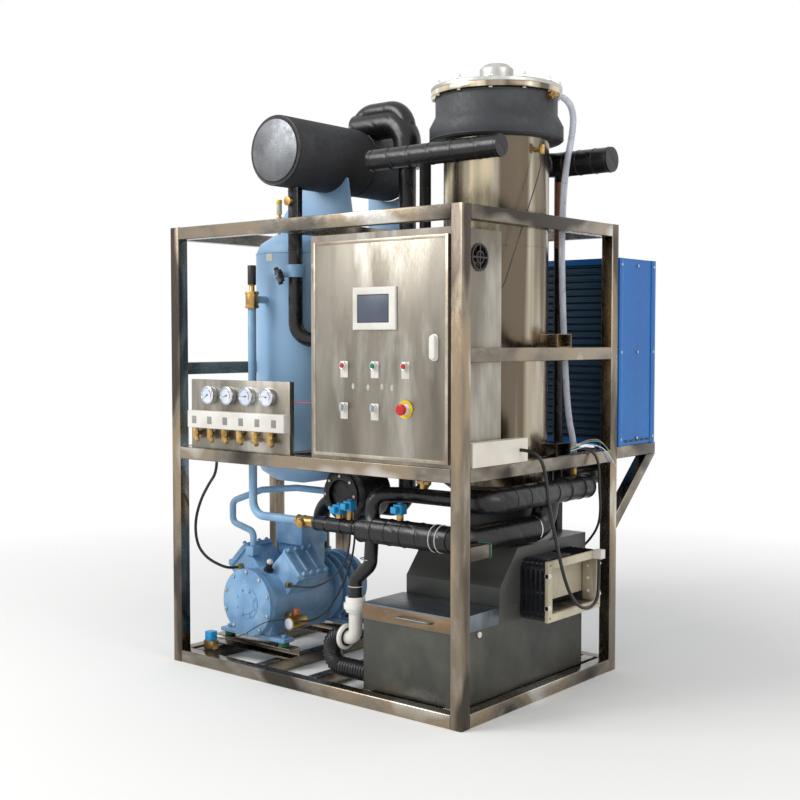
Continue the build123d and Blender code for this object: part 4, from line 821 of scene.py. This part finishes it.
@dataclass
class Vessels(Assembly):
    """The receiver, the lying separator, the oil separator and their saddles."""

    x: float = 370
    y: float = 400
    radius: float = 193

    looks: ClassVar[tuple[Look, ...]] = (
        Look("receiver", VESSEL_BLUE, "blue_vessel", 0.002),
        Look("saddles", VESSEL_BLUE, "blue_vessel", 0.0015),
        Look("separator", JACKET, "black_wrap", 0.003),
        Look("oil_separator", TAPE, "black_wrap", 0.002),
    )

    def build(self) -> None:
        """Add weld seams, the jacket's seam, rim and end, the blank patch and the bolts."""
        Shape().rings((self.x, self.y, 0), Axis.Z, (837, 1694), self.radius / 1000 + 0.0004,
                      0.002, 72, 8).finish("receiver_seams", VESSEL_BLUE, "blue_vessel")
        rim = Shape()
        rim.ring((509, 109, 2081), Axis.Y, 0.1335, 0.0042, 64, 10)
        rim.ring((509, 560, 2081), Axis.Y, 0.1382, 0.0022, 64, 8)
        rim.finish("separator_rim", TAPE, "black_wrap")
        Shape().bar((509, 101, 2081), (509, 99.6, 2081), 0.121, 64, 0.0006).finish(
            "separator_disc", DISC_FOIL, "black_wrap")
        Shape().blocks(0.0004, (352, 206.2, 1660, 388, 207.3, 1690)).finish(
            "receiver_patch", STRIP_WHITE, "white_plastic")
        bolts = Shape()
        for x, z in around(640, 713, 78, 8):
            bolts.bar((x, 333, z), (x, 327, z), 0.007, 6, 0.0008)
        bolts.finish("oil_separator_bolts", BOLT, "zinc_bolts")


@dataclass
class Pipework(Assembly):
    """The taped pipes, the painted pipes, the brass valves and the coils."""

    line: Point = (0, 130, 630)
    drain_y: float = 105
    drain_low: float = 98

    looks: ClassVar[tuple[Look, ...]] = (
        Look("insulated_pipes", TAPE, "black_wrap", 0.0),
        Look("blue_pipes", PIPE_BLUE, "blue_pipe", 0.001),
        Look("brass_valves", BRASS_DULL, "brass", 0.0006),
        Look("solenoid_coils", COIL_CYAN, "cyan_plastic", 0.0015),
        Look("valve_handwheel", DARK, "dark_plastic", 0.002, "handwheel"),
    )

    def build(self) -> None:
        """Add laps, ties, fittings, the level valve, the drain and the wrapped bends."""
        self.build_bands()
        self.build_ties()
        self.build_fittings()
        self.build_level_valve()
        self.build_drain()
        self.build_bends()

    def build_bands(self) -> None:
        """Raised laps of tape round the line pipe and the large pipes."""
        laps = Shape()
        laps.rings(self.line, Axis.X, (712, 760, 842, 905), 0.0292, 0.0016)
        laps.rings(self.line, Axis.X, (938, 1010, 1078, 1150, 1224, 1300, 1360),
                   0.0492, 0.0018, 40)
        laps.rings((1465, 0, 764), Axis.Y, (330, 420, 520, 610, 700, 800, 868),
                   0.0456, 0.0016, 40)
        laps.rings((0, 345, 2040), Axis.X, (820, 905, 1000, 1100, 1210, 1320, 1405),
                   0.0416, 0.0015)
        laps.rings((0, 850, 2030), Axis.X, (1380, 1440, 1510, 1570), 0.0486, 0.0015)
        laps.rings((509, 215, 0), Axis.Z, (1700, 1760, 1830, 1890, 1930), 0.0291, 0.0014, 32)
        laps.finish("tape_laps", TAPE, "black_wrap")

    def build_ties(self) -> None:
        """White cable ties and silver clamps on the pipes."""
        ties = Shape()
        ties.rings(self.line, Axis.X, (1290, 1318), 0.0496, 0.0018, 40)
        ties.ring((925, self.drain_y, 415), Axis.Z, 0.0268, 0.0016, 32, 6)
        ties.finish("pipe_ties", STRIP_WHITE, "white_plastic")
        clamps = Shape()
        clamps.ring((975, 117, 520), (0.1, 0.1, 1.0), 0.0272, 0.0022, 32, 6)
        clamps.ring((1430, 540, 630), (0.09, 1.0, 0.0), 0.0494, 0.0024, 40, 6)
        clamps.finish("pipe_clamps", CHROME, "gauge_chrome")

    def build_fittings(self) -> None:
        """The line valve's nuts, the shut-off valve's flange and cap, the coils' plugs."""
        nuts = Shape()
        for x in (606, 640, 694):
            nuts.bar((x - 5, 130, 630), (x + 5, 130, 630), 0.0255, 6, 0.001)
        for z in (1474, 1528):
            nuts.bar((347, 130, z - 4), (347, 130, z + 4), 0.030, 6, 0.001)
        nuts.bar((1173, 205, 836), (1173, 205, 852), 0.010, 6, 0.001)
        nuts.finish("valve_nuts", BRASS_DULL, "brass")
        Shape().bar((347, 130, 1562), (347, 130, 1640), 0.0172, 24, 0.002).finish(
            "valve_cap", DARK, "dark_plastic")
        plugs = Shape()
        for x, z in ((820, 676), (875, 694), (1122, 702)):
            plugs.blocks(0.003, (x - 13, 88, z + 6, x + 13, 110.4, z + 30))
            plugs.bar((x, 130, z + 36), (x, 130, z + 42), 0.009, 20, 0.001)
        plugs.finish("coil_plugs", COIL_CYAN, "cyan_plastic")

    def build_level_valve(self) -> None:
        """The small valve on the receiver's head, and the strip of old tape behind the tower."""
        stem = Shape()
        stem.bar((304, 330, 1766), (304, 330, 1862), 0.007, 24, 0.001)
        stem.bar((304, 330, 1838), (304, 330, 1852), 0.0125, 6, 0.001)
        stem.finish("level_stem", BRASS_DULL, "brass")
        Shape().bar((304, 330, 1860), (304, 330, 1906), 0.0115, 28, 0.002).finish(
            "level_body", CREAM, "cream_plastic")
        Shape().bar((304, 330, 1906), (304, 330, 1923), 0.0125, 28, 0.004).finish(
            "level_knob", YELLOW, "white_plastic")
        Shape().bar((1345, 850, 1700), (1345, 850, 1960), 0.0206, 32, 0.0004).finish(
            "old_tape", OLD_TAPE, "black_wrap")

    def build_drain(self) -> None:
        """The drain's union, its white pipe, the big ring and the ribbed hose after it."""
        y, low = self.drain_y, self.drain_low
        union = Shape()
        union.bar((925, y, 318), (925, y, 372), 0.038, 40, 0.003)
        union.bar((925, y, 330), (925, y, 352), 0.046, 12, 0.002)
        union.ring((925, y, 372), Axis.Z, 0.034, 0.004, 40, 8)
        union.tube(((925, y, 320), (925, y, 215), (884, y, 215)), 0.026, 0.036)
        union.ring((876, y, 215), Axis.X, 0.040, 0.0095, 48, 12)
        union.finish("drain_union", PVC, "white_pvc", replaces=("pvc_pipes",))
        hose = Shape()
        hose.tube(((886, y, 215), (806, y, 215), (806, y, low), (1002.4, y, low)),
                  0.034, 0.054)
        for n in range(8):
            for first, z in ((90, 161), (182, 152)):
                a = math.radians(first + 12 * n)
                hose.ring((860 + 54 * math.cos(a), y, z + 54 * math.sin(a)),
                          (-math.sin(a), 0.0, math.cos(a)), 0.0345, 0.0028, 36, 8)
        hose.rings((0, y, low), Axis.X, range(872, 990, 13), 0.0345, 0.0028, 36, 8)
        hose.finish("drain_hose", RIBBED, "black_rubber")

    def build_bends(self) -> None:
        """The wrap on the bow behind the separator, and a taped pipe to the condenser laid behind
        the line pipe, partly painted shade for the dark gap there.
        """
        Shape().tube(((500, 600, 2228), (773, 600, 2228), (773, 600, 2040)),
                     0.057, 0.092, 32, 12).finish("bow_wrap", TAPE, "black_wrap")
        # partly painted shade: a dark taped pipe that fills the shaded gap behind the line pipe
        shade_fill_pipe = Shape()
        shade_fill_pipe.tube(((700, 960, 790), (1380, 960, 790), (1380, 1150, 790),
                   (1380, 1150, 903)), 0.040, 0.065, 28, 8)
        shade_fill_pipe.rings((0, 960, 790), Axis.X, range(760, 1261, 100), 0.0406, 0.0016, 32)
        shade_fill_pipe.finish("rear_pipes_shade_fill", TAPE, "black_wrap")


@dataclass
class Compressor(Assembly):
    """The cast compressor with its heads, feet and small fittings."""

    x: float = 285
    z: float = 256

    looks: ClassVar[tuple[Look, ...]] = (
        Look("compressor_body", CAST_BLUE, "blue_cast", 0.0025),
        Look("compressor_covers", CAST_BLUE, "blue_cast", 0.002),
        Look("compressor_feet", PAD_GREEN, "green_rubber", 0.002),
        Look("water_pump", CAST_BLUE, "blue_cast", 0.002),
        Look("cutter_gearmotor", CAST_BLUE, "blue_cast", 0.002),
    )

    def build(self) -> None:
        """Add the cover's boss, screws, oil glass, unloader, and the switch's plug and dial."""
        cover = Shape()
        cover.bar((self.x, 149, self.z), (self.x, 144.6, self.z), 0.066, 56, 0.0016)
        cover.bar((self.x, 145, self.z), (self.x, 141, self.z), 0.017, 32, 0.0014)
        for x, z in around(self.x, self.z, 54, 8, 0.5):
            cover.bar((x, 145, z), (x, 139.5, z), 0.0062, 6, 0.0008)
        cover.finish("cover_boss", CAST_BLUE, "blue_cast")
        screws = Shape()
        for side in (-1, 1):
            turn = Matrix.Rotation(math.radians(45 * side), 4, "Y")
            for x in (-62, 62):
                for y in (265, 308, 351, 394):
                    low = turn @ Vector((x, 0, 246))
                    high = turn @ Vector((x, 0, 256))
                    screws.bar((self.x + low.x, y, self.z + low.z),
                               (self.x + high.x, y, self.z + high.z), 0.0085, 6, 0.001)
        for x in (125, 445):
            for y in (205, 620):
                screws.bar((x, y, 124), (x, y, 136), 0.012, 6, 0.001)
        screws.finish("compressor_screws", CAST_BLUE, "blue_cast")
        Shape().ring((354, 189, 206), (0.5, -1.0, -0.2), 0.018, 0.004, 32, 8).finish(
            "oil_glass_ring", BRASS_DULL, "brass")
        unloader = Shape()
        unloader.bar((322, 232, 368), (334, 228, 391), 0.020, 28, 0.002)
        unloader.bar((334, 228, 391), (345, 222, 415), 0.014, 24, 0.002)
        unloader.finish("unloader", DARK, "dark_plastic")
        Shape().pebble((350, 220, 424), (0.013, 0.013, 0.012)).finish(
            "unloader_cap", STRIP_WHITE, "white_plastic")
        Shape().bar((462, 262, 212), (462, 262, 236), 0.013, 20, 0.002).finish(
            "switch_plug", PLUG_ORANGE, "brass")
        Shape().bar((462, 214.6, 182), (462, 213.6, 182), 0.022, 32, 0.0004).finish(
            "switch_dial", DIAL, "gauge_chrome")


@dataclass
class Cabinet(Assembly):
    """The control cabinet with its door, screen, buttons and fan."""

    buttons: tuple[float, float, float] = (962, 1109, 1251)
    upper: float = 1247
    lower: float = 1096

    looks: ClassVar[tuple[Look, ...]] = (
        Look("cabinet_box", CABINET),
        Look("cabinet_door", CABINET, "cabinet_steel", 0.0006, "door"),
        Look("cabinet_gear", STRIP_WHITE),
        Look("door_fittings", STRIP_WHITE, "white_plastic", 0.0008, "door"),
        Look("door_latch", PVC, "white_plastic", 0.002, "latch"),
        Look("button_left", RED, "red_plastic", 0.001, "left_button"),
        Look("button_middle", GREEN, "green_plastic", 0.001, "middle_button"),
        Look("button_right", RED, "red_plastic", 0.001, "right_button"),
        Look("selector_left", PALE, "pale_plastic", 0.001, "left_selector"),
        Look("selector_middle", PALE, "pale_plastic", 0.001, "middle_selector"),
        Look("emergency_stop", RED, "red_plastic", 0.002, "stop"),
        Look("cabinet_fan", FAN_RED),
        Look("trunking", TRUNK_WHITE, "cream_plastic", 0.0008),
    )

    def build(self) -> None:
        """Add the screen and its rim, the collars, the disc, dried glue and a painted highlight
        along the door's edge.
        """
        Shape().blocks(0.0004, (1036, -5.2, 1404, 1178, -4.0, 1499)).finish(
            "screen_glass", SCREEN_GREY, "white_plastic", "door")
        Shape().blocks(0.0004, (1033, -5.8, 1401, 1181, -4.0, 1404),
                       (1033, -5.8, 1499, 1181, -4.0, 1502),
                       (1033, -5.8, 1404, 1036, -4.0, 1499),
                       (1178, -5.8, 1404, 1181, -4.0, 1499)).finish(
            "screen_rim", DARK, "dark_plastic", "door")
        collars = Shape()
        for z, places in ((self.upper, self.buttons), (self.lower, self.buttons[:2])):
            for x in places:
                collars.ring((x, -8, z), Axis.Y, 0.0125, 0.0022, 36, 8)
        collars.finish("button_collars", CHROME, "gauge_chrome", "door")
        Shape().washer((1251, 1.4, self.lower), Axis.Y, 0.0215, 0.033, 0.001).finish(
            "stop_disc", YELLOW, "white_plastic", "door")
        smudges = Shape()
        for x, z in ((1005, 1172), (1077, 1169), (1143, 1173), (1189, 1170)):
            smudges.pebble((x, 3.6, z), (0.007, 0.0008, 0.011))
        smudges.finish("door_smudges", GLUE, "white_plastic", "door")
        # painted highlight: pale strips of the cabinet steel along the door's rim
        Shape().blocks(0.0003, (806, 3.2, 913, 818, 4.2, 1699),
                       (1424, 3.2, 913, 1436, 4.2, 1699),
                       (818, 3.2, 1687, 1424, 4.2, 1699),
                       (818, 3.2, 913, 1424, 4.2, 925)).finish(
            "door_edge_highlight", DOOR_EDGE_HIGHLIGHT, "cabinet_steel", "door")


@dataclass
class GaugeBoard(Assembly):
    """The panel with four gauges over the row of small valves."""

    places: tuple[float, ...] = (234, 346, 455, 569)
    height: float = 1119

    looks: ClassVar[tuple[Look, ...]] = (
        Look("gauges", CHROME, "gauge_chrome", 0.0015),
        Look("valve_strip", STRIP_WHITE, "white_plastic", 0.002),
    )

    def build(self) -> None:
        """Fold the board, and add the gauges' faces and the strip's small marks."""
        board = Shape()
        board.blocks(0.0006, (114, 10, 900, 676, 12, 1180))
        board.blocks(0.0004, (114.2, 11.3, 1177.8, 675.8, 34, 1179.8),
                     (114.2, 11.3, 900.2, 116.2, 34, 1177.5),
                     (673.8, 11.3, 900.2, 675.8, 34, 1177.5))
        board.finish("gauge_board", CABINET, "cabinet_steel", replaces=("gauge_panel",))
        self.build_faces()
        marks = Shape()
        for i in range(6):
            x = 172 + 91 * i
            marks.blocks(0.0004, (x - 13, -28.9, 1004, x + 13, -28.0, 1034))
        marks.finish("strip_marks", STRIP_GREY, "white_plastic")

    def build_faces(self) -> None:
        """The gauges' faces with their ticks, red zones and needles."""
        faces, ticks, zones, needles = Shape(), Shape(), Shape(), Shape()
        for n, x in enumerate(self.places):
            faces.bar((x, -12.1, self.height), (x, -13.0, self.height), 0.0306, 44)
            for i in range(19):
                reach = 26 if i % 3 else 24
                ticks.bar(self.spot(x, reach, 225 - 15 * i, -13.2),
                          self.spot(x, 29, 225 - 15 * i, -13.2), 0.0006, 6)
            for i in range(10):
                zones.bar(self.spot(x, 19, 60 - 10 * i, -13.1),
                          self.spot(x, 22, 60 - 10 * i, -13.1), 0.0014, 6)
            needles.bar(self.spot(x, -6, 212 - 14 * n, -14.4),
                        self.spot(x, 23, 212 - 14 * n, -14.4), 0.0011, 8, 0.0, 0.0004)
            needles.bar((x, -13.0, self.height), (x, -15.4, self.height), 0.003, 20, 0.0004)
        faces.finish("gauge_faces", DIAL, "gauge_chrome")
        ticks.finish("gauge_ticks", WIRE_BLUE, "gauge_chrome")
        zones.finish("gauge_zones", RED, "gauge_chrome")
        needles.finish("gauge_needles", DARK, "dark_plastic")

    def spot(self, x: float, reach: float, degrees: float, y: float) -> Point:
        """A point of a gauge at some reach and angle from its middle."""
        a = math.radians(degrees)
        return (x + reach * math.cos(a), y, self.height + reach * math.sin(a))


@dataclass
class Tank(Assembly):
    """The water tank, its lid and the cutter's housing."""

    looks: ClassVar[tuple[Look, ...]] = (
        Look("water_tank", TANK_GREY, "grey_sheet", 0.0008),
        Look("tank_lid", LID_STEEL, "lid_steel", 0.0008, "lid"),
        Look("cutter_housing", HOUSING_GREY, "grey_sheet", 0.0012),
        Look("cutter_rotor", STEEL_RAIL),
    )

    def build(self) -> None:
        """Add the tank's plug, a painted reflection on the lid's skirt face and the hopper's foot
        ring.
        """
        Shape().bar((1442, 178, 296), (1450, 178, 296), 0.011, 32, 0.002).finish(
            "tank_plug", PVC, "white_pvc")
        # painted reflection: the lid's front skirt in warm tan
        Shape().blocks(0.0003, (1001, 56.6, 314, 1444, 57.7, 366)).finish(
            "lid_skirt_reflection", LID_FRONT_REFLECTION, "lid_steel", "lid")
        Shape().ring((1215, 600, 579), Axis.Z, 0.157, 0.007, 64, 10).finish(
            "hopper_foot", TAPE, "black_foam")


@dataclass
class Outlet(Assembly):
    """The ice chute with its foam, its frame, screws and flap."""

    looks: ClassVar[tuple[Look, ...]] = (
        Look("outlet_flange", CREAM, "cream_plastic", 0.0015),
        Look("outlet_sensor", STRIP_WHITE, "cream_plastic", 0.002),
        Look("outlet_flap", CREAM, "cream_plastic", 0.0008, "flap"),
    )

    def build(self) -> None:
        """Wrap the duct, and add the clamps, the liner, its screws and the chute's wet floor."""
        foam = Shape()
        foam.sleeve((1444, 437, 305), (1549.5, 811, 533), 0.012, 0.042)
        for x in (1460, 1481, 1502, 1523, 1542):
            foam.sleeve((x - 5, 434.5, 302.5), (x + 5, 813.5, 535.5), 0.004, 0.044)
        foam.finish("duct_foam", DUCT_FOAM, "black_foam")
        screws = Shape()
        for y in (447, 801):
            for z in (360, 478):
                screws.blocks(0.003, (1549, y - 8, z - 10, 1569, y + 8, z + 10))
                screws.bar((1569, y, z), (1573, y, z), 0.005, 6, 0.0008)
        screws.finish("outlet_clamps", PVC, "cream_plastic")
        Shape().blocks(0.0005, (1504, 780, 334, 1551, 784.6, 505),
                       (1504, 463.4, 334, 1551, 468, 505)).finish(
            "outlet_liner", CREAM, "cream_plastic")
        studs = Shape()
        for z in (370, 420, 468):
            studs.bar((1530, 780, z), (1530, 775, z), 0.006, 16, 0.001)
        studs.finish("liner_screws", PVC, "white_pvc")
        Shape().blocks(0.0004, (1448, 466, 331.2, 1551, 779, 333.4)).finish(
            "chute_floor", WET_FLOOR, "grey_sheet")


@dataclass
class AirCondenser(Assembly):
    """The blue condenser with its coil, fans and guards."""

    tube_count: int = 26
    tube_low: float = 925
    tube_pitch: float = 28.6

    looks: ClassVar[tuple[Look, ...]] = (
        Look("condenser_casing", CASING_BLUE),
        Look("condenser_coil", COIL),
        Look("fan_guards", WIRE_BLACK, "black_wire", 0.0006),
        Look("fan_rotor_left", WIRE_BLACK),
        Look("fan_rotor_right", WIRE_BLACK),
    )

    def build(self) -> None:
        """Add the side panel's screws, flanges and the painted shade of its slots, and the coil's
        front tubes.
        """
        screws = Shape()
        for y in (1072, 1206, 1340):
            for z in (936, 1290, 1644):
                screws.bar((1503, y, z), (1506, y, z), 0.006, 16, 0.0008)
        screws.finish("casing_screws", BOLT, "zinc_bolts")
        Shape().blocks(0.0012, (1500.5, 1062, 906, 1503.6, 1084, 1668),
                       (1500.5, 1331, 906, 1503.6, 1357, 1668)).finish(
            "casing_flanges", CASING_BLUE, "blue_sheet")
        # painted shade: dark blocks stand for the panel's slot openings
        Shape().blocks(0.0004, *((1502.2, 1110 + 44 * i, 922, 1503.6, 1142 + 44 * i, 930)
                                 for i in range(5))).finish(
            "casing_slot_shade", DARK, "dark_plastic")
        tubes = Shape()
        for i in range(self.tube_count):
            z = self.tube_low + self.tube_pitch * i
            tubes.bar((4, 1063, z), (1496, 1063, z), 0.0035, 8)
        tubes.finish("coil_tubes", COIL, "coil_aluminium")


@dataclass(frozen=True)
class Cord:
    """A cord on a smooth line through given control points, in millimetres."""

    name: str
    node: str | None
    points: tuple[Point, ...]
    diameter: float
    length: float
    far_end: str
    stiffness: str
    finish: Coating
    slot: str

    def build(self) -> bpy.types.Object:
        data = bpy.data.curves.new(self.name, "CURVE")
        data.dimensions = "3D"
        data.bevel_depth = self.diameter / 2000
        data.bevel_resolution = 6
        data.resolution_u = 16
        data.use_fill_caps = True
        line = data.splines.new("NURBS")
        line.points.add(len(self.points) - 1)
        for knot, (x, y, z) in zip(line.points, self.points):
            knot.co = (*at(x, y, z), 1.0)
        line.order_u = 3
        line.use_endpoint_u = True
        data.materials.append(self.finish.make())
        piece = link(self.name, data)
        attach(piece, "machine")
        if self.node:
            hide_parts(self.node)
        log.info("cord %s", self.name)
        return piece


WIRE_RUN = ((1462, 735, 912), (1455, 716, 907), (1472, 700, 909), (1492, 716, 920),
            (1502, 765, 932), (1513, 840, 938), (1520, 905, 918), (1522, 972, 850))


def wire(name: str, finish: Finish, side: float, drop: float, length: float) -> Cord:
    """One of the cable's bare wires, laid beside the others.

    Args:
        name: the wire's name.
        finish: its colour.
        side: how far it lies to the side of the first, in millimetres.
        drop: how much lower its end hangs.
        length: its length in metres.

    Returns:
        The cord to build.
    """
    last = len(WIRE_RUN) - 1
    points = tuple((x + side * 0.5 * n / last, y + side * (n / last) ** 2,
                    z + drop * (n / last) ** 2)
                   for n, (x, y, z) in enumerate(WIRE_RUN))
    return Cord(name, None, points, 3.4, length, "bare", "limp", finish, "black_rubber")


CORDS = (
    Cord("water_hose", "hose_clear",
         ((1472, 625.3, 2252), (1472, 695, 2252), (1474, 744, 2203), (1470, 737, 2110),
          (1455, 724, 2015), (1432, 738, 1880), (1424, 741, 1650), (1427, 762, 1290),
          (1424, 797, 1040), (1436, 826, 930), (1436, 826, 838.3)),
         25, 1.50, "object", "limp", ClearFinish(), "clear_hose"),
    Cord("outlet_cable", "cable_loop",
         ((1500.3, 352, 944), (1558, 352, 944), (1596, 362, 898), (1592, 398, 750),
          (1598, 441, 606), (1604, 492, 455), (1606, 563, 361), (1606, 650, 328),
          (1602, 728, 346), (1585, 766, 404), (1585, 766, 502.7)),
         13, 1.01, "object", "medium", RUBBER, "black_rubber"),
    Cord("motor_cable", "cable_bare_end",
         ((1310.3, 965, 490), (1380, 965, 490), (1442, 945, 542), (1492, 922, 604),
          (1522, 885, 680), (1527, 862, 770), (1525, 866, 858), (1507, 846, 908),
          (1480, 785, 922), (1462, 735, 912)),
         10, 0.67, "bare", "medium", RUBBER, "black_rubber"),
    wire("wire_white", WIRE_WHITE, 16.0, -14.0, 0.367),
    wire("wire_blue", WIRE_BLUE, -14.0, 4.0, 0.34),
    wire("wire_green", WIRE_GREEN, 6.0, 22.0, 0.353),
    wire("wire_orange", WIRE_ORANGE, -4.0, 34.0, 0.344),
    Cord("capillary", None,
         ((1448, 563, 2028), (1449, 560, 1985), (1441, 470, 1800), (1436, 380, 1620),
          (1436, 335, 1530), (1436, 301, 1508)),
         4, 0.59, "object", "medium", RUBBER, "black_rubber"),
    Cord("loom_lead", None,
         ((674, 30, 1108), (700, 36, 1100), (756, 38, 1102), (782.7, 40, 1106)),
         4, 0.11, "object", "medium", RED, "red_plastic"),
    Cord("coil_cable", None,
         ((143, 100, 104), (190, 104, 92), (300, 116, 128), (385, 126, 185), (436, 160, 205),
          (441, 214.8, 196)),
         4, 0.38, "object", "medium", RUBBER, "black_rubber"),
    Cord("left_cable", "cable_left",
         ((205, 62, 851.7), (205, 62, 800), (150, 66, 745), (88, 74, 670), (42, 84, 575),
          (38, 98, 480), (72, 118, 425), (125, 150, 392), (150, 186, 378), (150, 224.7, 378)),
         12, 0.635, "object", "medium", RUBBER, "black_rubber"),
    Cord("sensor_cable", "cable_compressor",
         ((838, 172, 603.7), (838, 172, 560), (800, 190, 480), (715, 212, 405),
          (610, 232, 352), (520, 238, 335), (446.3, 238, 335)),
         8, 0.53, "object", "medium", RUBBER, "black_rubber"),
    Cord("switch_cable", None,
         ((862, 172, 603.7), (862, 172, 560), (818, 192, 460), (745, 214, 350),
          (655, 234, 255), (560, 254, 200), (489.3, 257, 190)),
         8, 0.60, "object", "medium", RUBBER, "black_rubber"),
)


@dataclass
class Studio:
    """The floor, the light and the camera, in metres and degrees."""

    eye: Point = (3.2065, -3.8338, 1.3377)
    pitch: float = 87.213
    yaw: float = 39.505
    lens: float = 55.03
    aim: Point = (0.0, 0.0, 1.1)
    key: tuple[Point, float, float] = ((-2.6, -4.6, 4.6), 240.0, 3.2)
    fill: tuple[Point, float, float] = ((5.2, -0.8, 3.4), 70.0, 3.0)
    diffuse_light: float = 0.62
    floor_half: float = 9.0
    floor_fade: tuple[float, float] = (1.6, 4.2)

    def build(self) -> None:
        """Set up the camera, the world, the lamps and the floor."""
        self.build_camera()
        self.build_world()
        self.build_lamps()
        self.build_floor()

    def build_camera(self) -> None:
        """Stand the camera where the photograph was taken from."""
        data = bpy.data.cameras.new("camera")
        data.lens = self.lens
        data.sensor_width = 36.0
        camera = link("camera", data)
        camera.location = self.eye
        camera.rotation_euler = (math.radians(self.pitch), 0.0, math.radians(self.yaw))
        bpy.context.scene.camera = camera

    def build_world(self) -> None:
        """A white surround for the camera and for gloss, and softer light for the rest."""
        world = bpy.data.worlds.new("studio")
        bpy.context.scene.world = world
        world.use_nodes = True
        tree = world.node_tree
        path = tree.nodes.new("ShaderNodeLightPath").outputs
        seen = work(tree, "MAXIMUM", path["Is Camera Ray"], path["Is Glossy Ray"])
        clear = work(tree, "MAXIMUM", seen, path["Is Transmission Ray"])
        feed(tree, tree.nodes["Background"].inputs,
             {"Color": (1.0, 1.0, 1.0, 1.0),
              "Strength": span(tree, clear, 0.0, 1.0, self.diffuse_light, 1.0)})

    def build_lamps(self) -> None:
        """A large soft lamp from the front left and a weaker one from the right."""
        for name, (place, power, size) in (("key", self.key), ("fill", self.fill)):
            data = bpy.data.lights.new(name, "AREA")
            data.energy = power
            data.size = size
            lamp = link(name, data)
            lamp.location = place
            aim = Vector(self.aim) - Vector(place)
            lamp.rotation_euler = aim.to_track_quat("-Z", "Y").to_euler()

    def build_floor(self) -> None:
        """A pale floor that fades out before its edge."""
        plane = bmesh.new()
        bmesh.ops.create_grid(plane, x_segments=8, y_segments=8, size=self.floor_half)
        data = bpy.data.meshes.new("floor")
        plane.to_mesh(data)
        plane.free()
        floor = link("floor", data)
        material, tree, shader, vector = new_material("studio floor")
        reach = work(tree, "LENGTH", vector, kind=Kind.VECTORS, output=1)
        feed(tree, shader, {"Base Color": (0.9, 0.9, 0.89, 1.0), "Roughness": 0.9,
                            "Alpha": span(tree, reach, *self.floor_fade, 1.0, 0.0)})
        data.materials.append(material)


def main() -> None:
    """Build the studio and every sub-assembly in order, and note the sizes."""
    logging.basicConfig(level=logging.INFO, format="%(message)s")
    bpy.context.scene.view_settings.view_transform = "Standard"
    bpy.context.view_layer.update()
    Studio().build()
    for cord in CORDS:
        cord.build()
    for part in (OpenFrame(), Tower(), Vessels(), Pipework(), Compressor(), Cabinet(),
                 GaugeBoard(), Tank(), Outlet(), AirCondenser()):
        part.dress()
        part.build()


if __name__ == "__main__":
    main()
